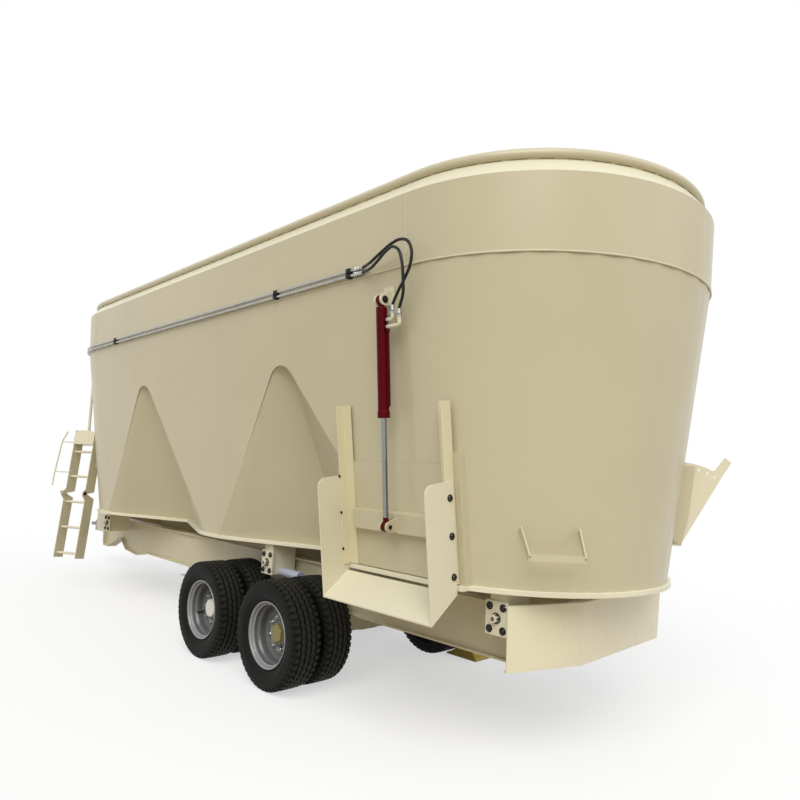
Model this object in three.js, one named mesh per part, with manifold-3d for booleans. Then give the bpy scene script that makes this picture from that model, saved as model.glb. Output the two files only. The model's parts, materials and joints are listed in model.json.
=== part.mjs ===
// Trailed feed mixer: a long tub with three upright augers on a chassis with a tandem axle and twin wheels.
// Millimetres, +Z up. +X points to the rear of the trailer, -Y to the side with the discharge door.
// The pieces are modelled with their origin on the ground under the rear auger's axis, and the whole
// machine is moved at the end, so that its origin is at the bottom centre of its box.
import * as THREE from "three";
import { mergeVertices } from "three/addons/utils/BufferGeometryUtils.js";
import Module from "manifold-3d";

const wasm = await Module();
wasm.setup();

// Driving dimensions of the tub
const auger_spacing = 2480;
const front_x = -2 * auger_spacing;
const tyre_radius = 383;
const axle_section = 120;
const axle_top = tyre_radius + axle_section / 2;
const floor_above_axle = 540;
const floor_height = axle_top + floor_above_axle;
const floor_radius = 940;
const band_top_radius = 1200;
const band_flare = 20;
const seam_radius = band_top_radius - band_flare;
const ring_inset = 88;
const ring_top_radius = band_top_radius - ring_inset;
const wall_height = 1790;
const band_height = 424;
const ring_height = 100;
const sheet = 10;
const rim_pipe_radius = 32;
const rim_overhang = 22;
const floor_thickness = 30;
const end_facets = 20;

// Folds between the augers, where the wall comes in to a point on the panel
const apex_height = 1420;
const fold_axis_gap = 120;
const fold_half_width = auger_spacing / 2 - fold_axis_gap;
const fold_tip_radius = 160;
const fold_tip_depth = 60;
const rear_fold_offset = 90;
const neck_half_width = 480;
const neck_rim_half_width = 560;
const fold_facets = 3;
const fold_levels_share = [0, 0.5];
const fold_tip_steps = 3;
const fold_tip_share = 0.96;

// Discharge door, its frame and guides
const door_centre = -160;
const door_width = 800;
const door_bottom = 6;
const door_height = 655;
const door_sheet = 8;
const door_gap = 3;
const opening_width = 750;
const opening_bottom = 30;
const opening_height = 590;
const frame_width = 980;
const frame_height = 720;
const frame_depth = 420;
const frame_recess = 2;
const guide_height = 1010;
const guide_foot_width = 48;
const guide_lap = 22;
const guide_sheet = 8;
const guide_leg = 62;
const guide_clearance = 4;
const crossbar_bottom = 252;
const crossbar_height = 116;
const crossbar_depth = 58;
const crossbar_end_gap = 30;

// Chute below the door
const cheek_width = 225;
const cheek_bottom = -165;
const cheek_top = 572;
const cheek_corner = 60;
const cheek_sheet = 8;
const chute_floor_sheet = 10.4;
const cheek_notch = 32;
const cheek_notch_top = 14;
const chute_back = -46;
const chute_clearance = 44;
const cheek_bolt_places_share = [0.3, 0.6, 0.88];
const bolt_head_radius = 14;
const bolt_head_height = 10;

// Door cylinder
const rod_pin_up = 300;
const rod_pin_out = 130;
const top_pin_up = 1618;
const top_pin_out = 72;
const cylinder_x = -137;
const barrel_radius = 37;
const barrel_bore = 29;
const barrel_length = 690;
const rod_radius = 16;
const gland_length = 42;
const piston_length = 30;
const eye_radius = 30;
const eye_width = 34;
const rod_neck_top = 57;
const barrel_top_drop = 42;
const pin_radius = 12.5;
const open_pivot_clearance = 5;
const pin_clearance = 0.6;
const pin_head_reach = 6;
const piston_clearance = 1;
const rod_clearance = 1;
const gland_lip = 4;
const port_block_drop = 78;
const port_block_height = 55;
const port_block_width = 44;
const port_root = 5;
const upper_port_reach = 92;
const lower_port_reach = 146;
const upper_port_height = 44;
const lower_port_height = 16;
const side_pipe_radius = 7;
const side_pipe_gap = 3;
const side_pipe_start = 30;
const side_pipe_bend = 10.5;
const ear_sheet = 12;
const ear_gap = 2;
const ear_half_height = 62;
const ear_root_share = 0.7;
const bracket_margin = 10;
const bracket_half_height = 80.6;
const bracket_eye_radius = 36;

// Pipes and hoses of the door cylinder
const pipe_radius = 9;
const pipe_spacing = 32;
const pipe_height = 1822;
const pipe_stand_off = 22;
const pipe_end_x = -430;
const pipe_front_angle = 196;
const clamp_front_reach = 610;
const clamp_middle_reach = 1321;
const clamp_length = 34;
const clamp_margin = 5;
const clamp_stand_off = 4;
const fitting_radius = 14;
const fitting_length = 46;
const hose_radius = 9;
const hose_straight = 30;
const hose_step = 45;
const hose_upper_route = [
  [-230, 60, 1858],
  [-140, 66, 1890],
  [-40, 72, 1922],
  [48, 78, 1932],
  [118, 86, 1905],
  [148, 92, 1840],
  [132, 96, 1765],
  [84, 96, 1700],
  [22, 90, 1640],
];
const hose_lower_route = [
  [-230, 62, 1822],
  [-150, 74, 1850],
  [-70, 86, 1884],
  [0, 96, 1898],
  [60, 106, 1866],
  [92, 116, 1790],
  [98, 120, 1700],
  [84, 112, 1620],
];

// Augers
const auger_column_radius = 175;
const auger_column_top_radius = 105;
const auger_height = 1460;
const auger_foot_radius = 300;
const auger_foot_height = 26;
const auger_clearance = 12;
const flight_radius = 872;
const flight_top_radius = 330;
const flight_start = 34;
const flight_rise = 1280;
const flight_turns = 2.25;
const flight_thickness = 14;
const flight_steps_per_turn = 11;
const knife_length = 210;
const knife_width = 90;
const knife_thickness = 9;
const knife_reach = 62;
const knife_places_share = [0.16, 0.38, 0.6, 0.82];

// Drive under the floor
const gearbox_radius = 250;
const gearbox_flange_radius = 330;
const gearbox_flange_height = 24;
const gearbox_neck_radius = 120;
const bevel_box = 230;
const shaft_above_axle = 160;
const shaft_height = axle_top + shaft_above_axle;
const input_shaft_reach = 900;
const shaft_radius = 32;
const guard_radius = 58;
const stub_radius = 38;
const stub_length = 70;
const stub_hole_clearance = 1;

// Chassis
const beam_outer_face = 520;
const beam_flange_width = 110;
const beam_sheet = 14;
const beam_top = 150;
const axle_seat_height = 60;
const beam_depth = floor_above_axle - beam_top - axle_seat_height;
const beam_rear_end = 560;
const beam_front_reach = 1120;
const beam_front_end = beam_front_reach - front_x;
const beam_front_drop = 50;
const beam_front_depth = beam_depth + beam_front_drop;
const beam_rise_start = 60;
const beam_rise_end = 560;
const crossmember_clearance = 7.7;
const crossmember_width = 120;
const crossmember_rear_inset = 90;
const crossmember_front_inset = 140;
const cell_rear_reach = 405;
const cell_middle_reach = 585;
const cell_front_reach = 390;
const cell_places = [cell_rear_reach, cell_middle_reach - auger_spacing, front_x - cell_front_reach];
const cell_face = 742;
const cell_box_width = 110;
const cell_plate_width = 150;
const cell_plate_height = 188;
const cell_plate_sheet = 14;
const cell_centre_drop = 178;
const cell_bolt_spread = 92;
const cell_bolt_radius = 15;
const cell_nut_radius = 24;
const cell_nut_length = 34;

// Drawbar
const drawbar_length = 1480;
const drawbar_tip = beam_front_end + drawbar_length;
const drawbar_section = 150;
const drawbar_tip_half = 90;
const drawbar_drop = 330;
const eye_plate = 40;
const hitch_eye_length = 260;
const hitch_ring_radius = 62;
const hitch_bore_radius = 26;
const hitch_neck_radius = 38;
const hitch_bolt_across_share = 0.7;
const hitch_bolt_up_share = 0.6;
const jack_setback = 180;
const jack_place = beam_front_end - jack_setback;
const jack_stand_off = 125;
const jack_side = beam_outer_face + jack_stand_off;
const jack_sleeve = 90;
const jack_leg = 70;
const jack_foot = 220;
const jack_foot_sheet = 12;
const jack_travel = 200;
const jack_sleeve_length = 520;
const jack_crank_radius = 14;
const jack_crank_reach = 130;

// Axles and wheels
const axle_reach = 123;
const axle_spacing = 979;
const axle_places = [axle_reach - auger_spacing, axle_reach + axle_spacing - auger_spacing];
const tyre_width = 238;
const rim_radius = 233;
const bead_radius = 218;
const rim_well_radius = 201;
const rim_sheet = 10;
const rim_well_share = 0.32;
const rim_width = 196;
const wheel_outer_face = 1064;
const twin_spacing = 275;
const hub_radius = 86;
const hub_cap_radius = 60;
const hub_cap_reach = 74;
const wheel_disc = 24;
const tyre_side_shares = [
  [0, 0.678],
  [0.5, 1],
  [1, 0.72],
];
const spindle_radius = 48;
const spindle_clearance = 1;
const wheel_segments = 16;
const seat_length = 240;

// Ladder
const rung_angle = 31;
const ladder_lean = 6.7;
const ladder_width = 313;
const ladder_depth = 150;
const ladder_sheet = 8;
const ladder_top = 904;
const ladder_bottom = -622;
const ladder_pivot = 140;
const rung_spacing = 302;
const rung_radius = 15;
const lowest_rung = 56;
const first_upper_rung = 205;
const ladder_plate_height = 170;
const ladder_plate_corner = 70;
const ladder_place_angle = 232.04;
const ladder_stand_off = 237.6;
const handrail_top = 640;
const handrail_bend = 50;
const grab_reach = 205;
const grab_length = 690;
const grab_rail_shares = [
  [0.537, 0.029],
  [0.829, 0.203],
  [1, 0.812],
  [1, 1],
];
const grab_stay_shares = [0.217, 0.754];
const grab_radius = 9;
const grab_stay_radius = 7.2;
const upper_stay_drop = 60;
const lower_stay_drop = 430;
const wall_stay_sheet = 12;
const rail_radius = 16;
const pivot_reach = 26;
const pivot_hook_radius = 20.8;
const ladder_pin_radius = 9.5;
const ladder_pin_clearance = 1;
const rung_inset = 2;
const ladder_side_gap = 3;

// Rear guard, step and counter knife
const guard_sheet = 8;
const guard_top_drop = 100;
const guard_height = 345;
const guard_side_x = 505;
const guard_side_y = 785;
const guard_rear_x = 672;
const guard_rear_half = 300;
const guard_far_x = 645;
const guard_far_y = 765;
const guard_end_slant = 60;
const guard_lip = 26;
const step_angles = [-54, -36];
const step_low = 178;
const step_reach = 130;
const step_bar = 36;
const step_bar_sheet = 9;
const step_stand_off = 10.8;
const step_taper = 25;
const step_arm_height = 150;
const knife_facet = 13.5;
const knife_pivot_height = 238;
const knife_pivot_stand = 24;
const knife_pivot_radius = 30;
const counter_knife_sheet = 12;
const knife_top_radius = 505;
const knife_hole_radius = 475;
const knife_hole_angles = [10.5, 17.3, 23.7, 29.3];
const knife_top_angles = [4.5, 12, 19.5, 27];
const knife_handle_shares = [
  [0.475, 0.911],
  [0.582, 1.069],
  [0.655, 1.006],
  [0.554, 0.838],
];
const knife_heel_shares = [1.167, -0.733];
const knife_ring_hole = 13;
const knife_detent_hole = 7;
const knife_slot_gap = 2;
const knife_slot_end = 10;
const knife_side_gap = 1;
const guide_plate_sheet = 8;
const guide_plate_width = 78;
const guide_plate_top = 478;
const guide_plate_foot = 34;

// Wheel chock
const chock_length = 330;
const chock_height = 165;
const chock_width = 190;
const chock_ribs = 5;
const chock_rib = 12;
const chock_toe = 12;
const chock_gap = 0.5;
const chock_crest = 40;
const chock_curve_steps = 4;

// Clearances and tessellation
const seat_gap = 0.3;
const weld_overlap = 1;
const overrun = 40;
const merge_distance = 1e-4;
const round_sides = 12;
const small_sides = 6;
const hose_sides = 6;
const tube_step_share = 3;

// Derived heights and angles
const facet_angle = 180 / end_facets;
const facet_share = Math.cos(THREE.MathUtils.degToRad(facet_angle / 2));
const knife_angle = -90 + facet_angle * knife_facet;
const seam_height = floor_height + wall_height;
const band_top = seam_height + band_height;
const auger_places = { rear: 0, middle: -auger_spacing, front: front_x };
const panel_slope = Math.atan2(seam_radius - floor_radius, wall_height);

// Paints
function paint(color, roughness, metalness) {
  return new THREE.MeshStandardMaterial({ color, roughness, metalness, flatShading: true });
}
const cream = paint(0xc9bf9f, 0.42, 0.1);
const pale_cream = paint(0xd6cfb2, 0.4, 0.1);
const dark_red = paint(0x7a0c12, 0.35, 0.2);
const bare_steel = paint(0x8f9294, 0.35, 0.9);
const wheel_grey = paint(0x97999b, 0.4, 0.5);
const black_rubber = paint(0x1d1d1b, 0.85, 0);
const black_hose = paint(0x141414, 0.5, 0);
const guard_yellow = paint(0xb79a14, 0.5, 0);
const worn_steel = paint(0x6d6a63, 0.5, 0.8);

// Solids
function solid(geometry) {
  const bare = geometry.clone();
  bare.deleteAttribute("normal");
  bare.deleteAttribute("uv");
  const merged = mergeVertices(bare, merge_distance);
  const made = new wasm.Manifold(
    new wasm.Mesh({
      numProp: 3,
      vertProperties: new Float32Array(merged.attributes.position.array),
      triVerts: new Uint32Array(merged.index.array),
    }),
  );
  return made;
}

function join(...pieces) {
  return pieces.reduce((whole, piece) => whole.add(piece));
}

function cut(whole, ...pieces) {
  return pieces.reduce((rest, piece) => rest.subtract(piece), whole);
}

// The largest body of a cut, without the slivers that a cut can leave
function largest(made) {
  return made.decompose().reduce((best, body) => (body.volume() > best.volume() ? body : best));
}

function geometryOf(made) {
  const mesh = made.getMesh();
  const count = mesh.numProp;
  const places = new Float32Array(mesh.numVert * 3);
  for (let i = 0; i < mesh.numVert; i++) {
    places.set(mesh.vertProperties.subarray(i * count, i * count + 3), i * 3);
  }
  const geometry = new THREE.BufferGeometry();
  geometry.setAttribute("position", new THREE.BufferAttribute(places, 3));
  geometry.setIndex(new THREE.BufferAttribute(mesh.triVerts, 1));
  return geometry;
}

function vector(x, y, z) {
  return new THREE.Vector3(x, y, z);
}

function place(geometry, matrix) {
  return geometry.clone().applyMatrix4(matrix);
}

// A box between two opposite corners, in either order
function box(one, other) {
  const low = one.clone().min(other);
  const size = one.clone().max(other).sub(low);
  const middle = one.clone().add(other).multiplyScalar(0.5);
  return new THREE.BoxGeometry(size.x, size.y, size.z).translate(middle.x, middle.y, middle.z);
}

function boxSolid(x0, x1, y0, y1, z0, z1) {
  return solid(box(vector(x0, y0, z0), vector(x1, y1, z1)));
}

// A round bar between two points
function bar(from, to, radius, sides = round_sides) {
  const along = to.clone().sub(from);
  const turn = new THREE.Quaternion().setFromUnitVectors(vector(0, 1, 0), along.clone().normalize());
  const geometry = new THREE.CylinderGeometry(radius, radius, along.length(), sides);
  const middle = from.clone().add(to).multiplyScalar(0.5);
  geometry.applyQuaternion(turn);
  return geometry.translate(middle.x, middle.y, middle.z);
}

function barSolid(from, to, radius, sides = round_sides) {
  return solid(bar(from, to, radius, sides));
}

// A closed surface through rings of points, turned so that its faces point out
function loft(rings, looped = false) {
  const count = rings[0].length;
  const places = [];
  const faces = [];
  for (const ring of rings) {
    for (const point of ring) places.push(point.x, point.y, point.z);
  }
  const last = looped ? rings.length : rings.length - 1;
  for (let r = 0; r < last; r++) {
    const next = (r + 1) % rings.length;
    for (let i = 0; i < count; i++) {
      const j = (i + 1) % count;
      faces.push(r * count + i, r * count + j, next * count + j);
      faces.push(r * count + i, next * count + j, next * count + i);
    }
  }
  if (!looped) {
    for (const [ring, base, flip] of [
      [rings[0], 0, true],
      [rings[rings.length - 1], (rings.length - 1) * count, false],
    ]) {
      for (const [a, b, c] of capOf(ring)) {
        if (flip) faces.push(base + c, base + b, base + a);
        else faces.push(base + a, base + b, base + c);
      }
    }
  }
  const geometry = new THREE.BufferGeometry();
  geometry.setAttribute("position", new THREE.Float32BufferAttribute(places, 3));
  geometry.setIndex(faces);
  if (volumeOf(geometry) < 0) {
    for (let i = 0; i < faces.length; i += 3) {
      [faces[i + 1], faces[i + 2]] = [faces[i + 2], faces[i + 1]];
    }
    geometry.setIndex(faces);
  }
  return geometry;
}

// Triangles over a flat ring of points, in the ring's own order
function capOf(ring) {
  const normal = vector(0, 0, 0);
  ring.forEach((point, i) => normal.add(point.clone().cross(ring[(i + 1) % ring.length])));
  const turn = new THREE.Quaternion().setFromUnitVectors(normal.normalize(), vector(0, 0, 1));
  const flat = ring.map((point) => {
    const turned = point.clone().applyQuaternion(turn);
    return new THREE.Vector2(turned.x, turned.y);
  });
  return THREE.ShapeUtils.triangulateShape(flat, []);
}

function volumeOf(geometry) {
  const places = geometry.attributes.position;
  const index = geometry.index.array;
  let sum = 0;
  for (let i = 0; i < index.length; i += 3) {
    const [a, b, c] = [0, 1, 2].map((k) => new THREE.Vector3().fromBufferAttribute(places, index[i + k]));
    sum += a.dot(b.cross(c));
  }
  return sum;
}

// An outline of [across, up] pairs in a plane, drawn out to a thickness.
// plane "xz" is drawn out along +Y from the given start, "yz" along +X and "xy" along +Z.
function plate(outline, plane, start, thickness, holes = []) {
  const shape = new THREE.Shape(outline.map(([a, b]) => new THREE.Vector2(a, b)));
  for (const [a, b, radius] of holes) {
    const hole = new THREE.Path();
    hole.absarc(a, b, radius, 0, 2 * Math.PI, true);
    shape.holes.push(hole);
  }
  const drawn = new THREE.ExtrudeGeometry(shape, {
    depth: thickness,
    bevelEnabled: false,
    curveSegments: round_sides / 2,
  });
  if (plane === "xz") {
    drawn.rotateX(Math.PI / 2);
    return drawn.translate(0, start + thickness, 0);
  }
  if (plane === "yz") {
    drawn.rotateX(Math.PI / 2);
    drawn.rotateZ(Math.PI / 2);
    return drawn.translate(start, 0, 0);
  }
  return drawn.translate(0, 0, start);
}

function plateSolid(...drawn) {
  return solid(plate(...drawn));
}

// Points of an arc as [across, up] pairs, angles in degrees
function arc(across, up, radius, from, to, steps) {
  const points = [];
  for (let i = 0; i <= steps; i++) {
    const angle = THREE.MathUtils.degToRad(from + ((to - from) * i) / steps);
    points.push([across + radius * Math.cos(angle), up + radius * Math.sin(angle)]);
  }
  return points;
}

// A round tube along a smooth line through points
function tube(points, radius, sides = small_sides, step = radius * 2 * tube_step_share, tension = 0.5) {
  const line = new THREE.CatmullRomCurve3(points, false, "centripetal", tension);
  const corners = arc(0, 0, radius, 0, 360, sides).slice(0, sides);
  const shape = new THREE.Shape(corners.map(([a, b]) => new THREE.Vector2(a, b)));
  return new THREE.ExtrudeGeometry(shape, {
    steps: Math.max(2, Math.round(line.getLength() / step)),
    extrudePath: line,
  });
}

// A tube with straight runs and tight round corners, through the given corner points
function bentTube(corners, radius, bend, sides = small_sides, corner_steps = 4) {
  const path = new THREE.CurvePath();
  let from = corners[0];
  for (let i = 1; i < corners.length - 1; i++) {
    const into = corners[i].clone().sub(corners[i - 1]).normalize();
    const out = corners[i + 1].clone().sub(corners[i]).normalize();
    const start = corners[i].clone().addScaledVector(into, -bend);
    const end = corners[i].clone().addScaledVector(out, bend);
    path.add(new THREE.LineCurve3(from, start));
    path.add(new THREE.QuadraticBezierCurve3(start, corners[i], end));
    from = end;
  }
  path.add(new THREE.LineCurve3(from, corners[corners.length - 1]));
  const line = [];
  for (const run of path.curves) {
    const steps = run.isLineCurve3 ? 1 : corner_steps;
    for (let i = 0; i < steps; i++) line.push(run.getPoint(i / steps));
  }
  line.push(corners[corners.length - 1].clone());
  return loft(ringsAlong(line, radius, sides));
}

// Round rings square to a line of points, each turned as little as can be from the one before
function ringsAlong(line, radius, sides, looped = false) {
  const rings = [];
  let normal = null;
  line.forEach((point, i) => {
    const before = looped ? line[(i - 1 + line.length) % line.length] : line[Math.max(0, i - 1)];
    const after = looped ? line[(i + 1) % line.length] : line[Math.min(line.length - 1, i + 1)];
    const into = point.clone().sub(before);
    const out = after.clone().sub(point);
    if (into.lengthSq() === 0) into.copy(out);
    if (out.lengthSq() === 0) out.copy(into);
    into.normalize();
    out.normalize();
    const along = into.clone().add(out).normalize();
    const stretch = 1 / Math.max(along.dot(out), 0.5);
    if (!normal) normal = Math.abs(along.z) < 0.9 ? vector(0, 0, 1) : vector(1, 0, 0);
    normal.sub(along.clone().multiplyScalar(normal.dot(along))).normalize();
    const side = along.clone().cross(normal).normalize();
    const bend = out.clone().sub(into);
    const ring = [];
    for (let k = 0; k < sides; k++) {
      const angle = (2 * Math.PI * k) / sides;
      const offset = normal.clone().multiplyScalar(radius * Math.cos(angle));
      offset.addScaledVector(side, radius * Math.sin(angle));
      if (bend.lengthSq() > 1e-9) {
        const across = bend.clone().normalize();
        offset.addScaledVector(across, offset.dot(across) * (stretch - 1));
      }
      ring.push(point.clone().add(offset));
    }
    rings.push(ring);
  });
  return rings;
}

// The tub's outline at one height: two half circles joined by straight sides
function stadium(radius, z) {
  const ring = [];
  for (let i = 0; i <= end_facets; i++) {
    const angle = -Math.PI / 2 + (Math.PI * i) / end_facets;
    ring.push(vector(radius * Math.cos(angle), radius * Math.sin(angle), z));
  }
  for (let i = 0; i <= end_facets; i++) {
    const angle = Math.PI / 2 + (Math.PI * i) / end_facets;
    ring.push(vector(front_x + radius * Math.cos(angle), radius * Math.sin(angle), z));
  }
  return ring;
}

// A closed section of [radius, height] pairs taken round the tub's outline
function roundTub(section) {
  return loft(section.map(([radius, z]) => stadium(radius, z)), true);
}

function panelRadius(up) {
  return floor_radius + ((seam_radius - floor_radius) * up) / wall_height;
}

// The angle below the line of augers at which a straight run from the neck touches an auger's circle
function touchAngle(radius, neck) {
  const half = auger_spacing / 2;
  const reach = Math.hypot(half, neck);
  return THREE.MathUtils.radToDeg(Math.atan2(neck, half) + Math.acos(radius / reach));
}

// The floor's outline: three circles joined by straight runs that meet at the necks between them
function floorOutline(radius, neck) {
  const touch = touchAngle(radius, neck);
  const near = [];
  const places = [front_x, -auger_spacing, 0];
  places.forEach((x, i) => {
    const from = i === 0 ? 180 : 180 + touch;
    const to = i === 2 ? 360 : 360 - touch;
    near.push(...arc(x, 0, radius, from, to, Math.round(((to - from) * end_facets) / 180)));
    if (i < 2) near.push([x + auger_spacing / 2, -neck]);
  });
  const far = near
    .slice(1, -1)
    .reverse()
    .map(([x, y]) => [x, -y]);
  return [...near, ...far];
}

// What is cut away outside a fold on the near side, round the middle between two augers.
// grow makes it larger by the sheet's thickness, for the inside of the tub. shift moves its top.
function foldCutter(middle, shift, grow) {
  const half = auger_spacing / 2;
  const radius = floor_radius - grow;
  const neck = neck_half_width - grow;
  const touch = touchAngle(radius, neck);
  const first = 270 - THREE.MathUtils.radToDeg(Math.asin((half - fold_half_width) / radius));
  const right = [[fold_half_width, -radius]];
  right.push(...arc(half, 0, radius, first, 180 + touch, fold_facets).slice(1), [0, -neck]);
  const shape = right.map(([x, y]) => {
    return { across: x / fold_half_width, depth: (y + radius) / (radius - neck) };
  });
  const line_length = Math.hypot(fold_half_width, apex_height);
  const tip_centre = apex_height - (fold_tip_radius * line_length) / fold_half_width;
  const tip_radius = fold_tip_radius + grow;
  const touch_height = tip_centre + (tip_radius * fold_half_width) / line_length;
  const side_growth = (grow * line_length) / apex_height;
  const levels = [];
  for (const share of fold_levels_share) {
    const up = touch_height * share;
    levels.push({ up, width: fold_half_width * (1 - up / apex_height) + side_growth, closing: 1 });
  }
  const touch_width = (tip_radius * apex_height) / line_length;
  const from = Math.acos(touch_width / tip_radius);
  for (let i = 0; i <= fold_tip_steps; i++) {
    const angle = from + ((Math.PI / 2 - from) * i * fold_tip_share) / fold_tip_steps;
    const width = tip_radius * Math.cos(angle);
    levels.push({ up: tip_centre + tip_radius * Math.sin(angle), width, closing: width / touch_width });
  }
  const ringAt = ({ up, width, closing }) => {
    const below = Math.max(0, 1 - up / apex_height);
    const depth = ((floor_radius - neck_half_width) * below + fold_tip_depth * (1 - below)) * closing;
    const face = -(panelRadius(up) - grow);
    const points = shape.map(({ across, depth: deep }) => {
      const share = deep * below + (1 - across) * (1 - below);
      return [across * width, face + depth * share];
    });
    const other = points
      .slice(0, -1)
      .reverse()
      .map(([x, y]) => [-x, y]);
    const outside = -(seam_radius + 5 * overrun);
    const ring = [[width, outside], ...points, ...other, [-width, outside]];
    const centre = middle + shift * (1 - below);
    return ring.map(([x, y]) => vector(centre + x, y, floor_height + up));
  };
  const rings = levels.map(ringAt);
  const lowest = rings[0].map((point) => point.clone().setZ(floor_height - overrun));
  return solid(loft([lowest, ...rings]));
}

function mirrored(made) {
  return made.mirror([0, 1, 0]);
}

// The frame of reference on the near panel: x along the tub, y into it, z up along the sloping face
const panel_frame = new THREE.Matrix4()
  .makeTranslation(0, -floor_radius, floor_height)
  .multiply(new THREE.Matrix4().makeRotationX(panel_slope));

// A box on the panel, by its places along the tub, out from the face and up along it
function panelBox(x0, x1, out0, out1, up0, up1) {
  return solid(place(box(vector(x0, -out1, up0), vector(x1, -out0, up1)), panel_frame));
}

function onPanel(geometry) {
  return solid(place(geometry, panel_frame));
}

function panelPoint(x, out, up) {
  return vector(x, -out, up).applyMatrix4(panel_frame);
}

// The outside of the tub below the seam, grown by a gap, that brackets on the wall are cut by
function tubOutside(gap) {
  const low = panelRadius(-overrun) + gap;
  return solid(loft([stadium(low, floor_height - overrun), stadium(seam_radius + gap, seam_height)]));
}

// Tub
const door_low = door_centre - door_width / 2;
const door_high = door_centre + door_width / 2;
const frame_low = door_centre - frame_width / 2;
const frame_high = door_centre + frame_width / 2;

function radialFrame(angle, radius, z) {
  const turned = THREE.MathUtils.degToRad(angle);
  return new THREE.Matrix4()
    .makeRotationZ(turned)
    .multiply(new THREE.Matrix4().makeTranslation(radius, 0, z));
}

const knife_wall_radius = panelRadius(knife_pivot_height) * facet_share;
const knife_frame = radialFrame(
  knife_angle,
  knife_wall_radius + knife_pivot_stand,
  floor_height + knife_pivot_height,
);

function makeTubWall() {
  const outer = solid(loft([stadium(floor_radius, floor_height), stadium(seam_radius, seam_height)]));
  const inner_low = panelRadius(-overrun) - sheet;
  const inner_high = panelRadius(wall_height + overrun) - sheet;
  const inner = solid(
    loft([stadium(inner_low, floor_height - overrun), stadium(inner_high, seam_height + overrun)]),
  );
  const folds = [
    [-auger_spacing / 2, -rear_fold_offset],
    [-1.5 * auger_spacing, 0],
  ];
  const cuttersOf = (grow) =>
    folds.map(([x, shift]) => foldCutter(x, shift, grow)).flatMap((fold) => [fold, mirrored(fold)]);
  const cutters = cuttersOf(0);
  const grown = cuttersOf(sheet);
  const frame = panelBox(frame_low, frame_high, -frame_recess, -frame_depth, -overrun, frame_height);
  const above_floor = boxSolid(
    2 * front_x,
    -front_x,
    -2 * seam_radius,
    2 * seam_radius,
    floor_height,
    seam_height + band_height,
  );
  const frame_inside = panelBox(
    frame_low + sheet,
    frame_high - sheet,
    -frame_recess - sheet,
    -frame_depth - overrun,
    -2 * overrun,
    frame_height - sheet,
  );
  const body = join(cut(outer, ...cutters), frame.intersect(above_floor));
  const hollow = join(cut(inner, ...grown), frame_inside);
  const half_opening = opening_width / 2;
  const doorway = panelBox(
    door_centre - half_opening,
    door_centre + half_opening,
    overrun,
    -overrun,
    opening_bottom,
    opening_bottom + opening_height,
  );
  const slot_half = counter_knife_sheet / 2 + knife_slot_gap;
  const slot_top = knife_top_radius + knife_slot_end;
  const slot = inKnife(
    box(vector(-3 * overrun, -slot_half, -overrun), vector(3 * overrun, slot_half, slot_top)),
  );
  return largest(cut(body, hollow, doorway, slot));
}

function makeUpperBand() {
  const bottom = seam_height + seat_gap;
  return roundTub([
    [seam_radius, bottom],
    [band_top_radius, band_top],
    [band_top_radius - sheet, band_top],
    [seam_radius - sheet, bottom],
  ]);
}

function makeSpillRing() {
  const bottom = band_top + seat_gap;
  const top = band_top + ring_height;
  return roundTub([
    [band_top_radius, bottom],
    [ring_top_radius + sheet, top],
    [ring_top_radius, top],
    [band_top_radius - sheet, bottom],
  ]);
}

function makeRimPipe() {
  const half_side = 180 / small_sides;
  const flat_height = rim_pipe_radius * Math.cos(THREE.MathUtils.degToRad(half_side));
  const centre = band_top + ring_height + seat_gap + flat_height;
  const middle = ring_top_radius + sheet / 2;
  const section = arc(middle, centre, rim_pipe_radius, half_side - 90, half_side + 270, small_sides);
  section.pop();
  return roundTub(section);
}

function makeFloorPlate() {
  const radius = floor_radius + rim_overhang;
  const outline = floorOutline(radius, neck_rim_half_width);
  const bottom = floor_height - seat_gap - floor_thickness;
  const holes = Object.values(auger_places).map((x) => [x, 0, gearbox_neck_radius + auger_clearance]);
  const floor = plateSolid(outline, "xy", bottom, floor_thickness, holes);
  const corner_far = frame_depth / 2 - radius;
  const corner = boxSolid(frame_low, frame_high, -radius, corner_far, bottom, bottom + floor_thickness);
  return join(floor, corner);
}

// Augers: a tapering column with one rising flight, and knives along the flight's edge
function makeAuger(x) {
  const bottom = floor_height + auger_clearance;
  const profile = [
    [0, 0],
    [auger_foot_radius, 0],
    [auger_foot_radius, auger_foot_height],
    [auger_column_radius, auger_foot_height],
    [auger_column_top_radius, auger_height],
    [0, auger_height],
  ];
  const column = new THREE.LatheGeometry(
    profile.map(([r, z]) => new THREE.Vector2(r, z)),
    round_sides,
  );
  column.rotateX(Math.PI / 2);
  const steps = Math.round(flight_turns * flight_steps_per_turn);
  const rings = [];
  for (let i = 0; i <= steps; i++) rings.push(flightSection(i / steps));
  const pieces = [solid(column), solid(loft(rings))];
  for (const share of knife_places_share) pieces.push(makeFlightKnife(share));
  return join(...pieces).translate([x, 0, bottom]);
}

function flightAt(share) {
  const angle = 2 * Math.PI * flight_turns * share;
  const up = flight_start + flight_rise * share;
  const column = auger_column_radius + (auger_column_top_radius - auger_column_radius) * (up / auger_height);
  const outer = flight_radius + (flight_top_radius - flight_radius) * share;
  return { angle, up, column, outer };
}

function flightSection(share) {
  const { angle, up, column, outer } = flightAt(share);
  const inner = column - 2 * flight_thickness;
  const out = vector(Math.cos(angle), Math.sin(angle), 0);
  const points = [
    [inner, up],
    [outer, up],
    [outer, up + flight_thickness],
    [inner, up + flight_thickness],
  ];
  return points.map(([r, z]) => out.clone().multiplyScalar(r).setZ(z));
}

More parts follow.
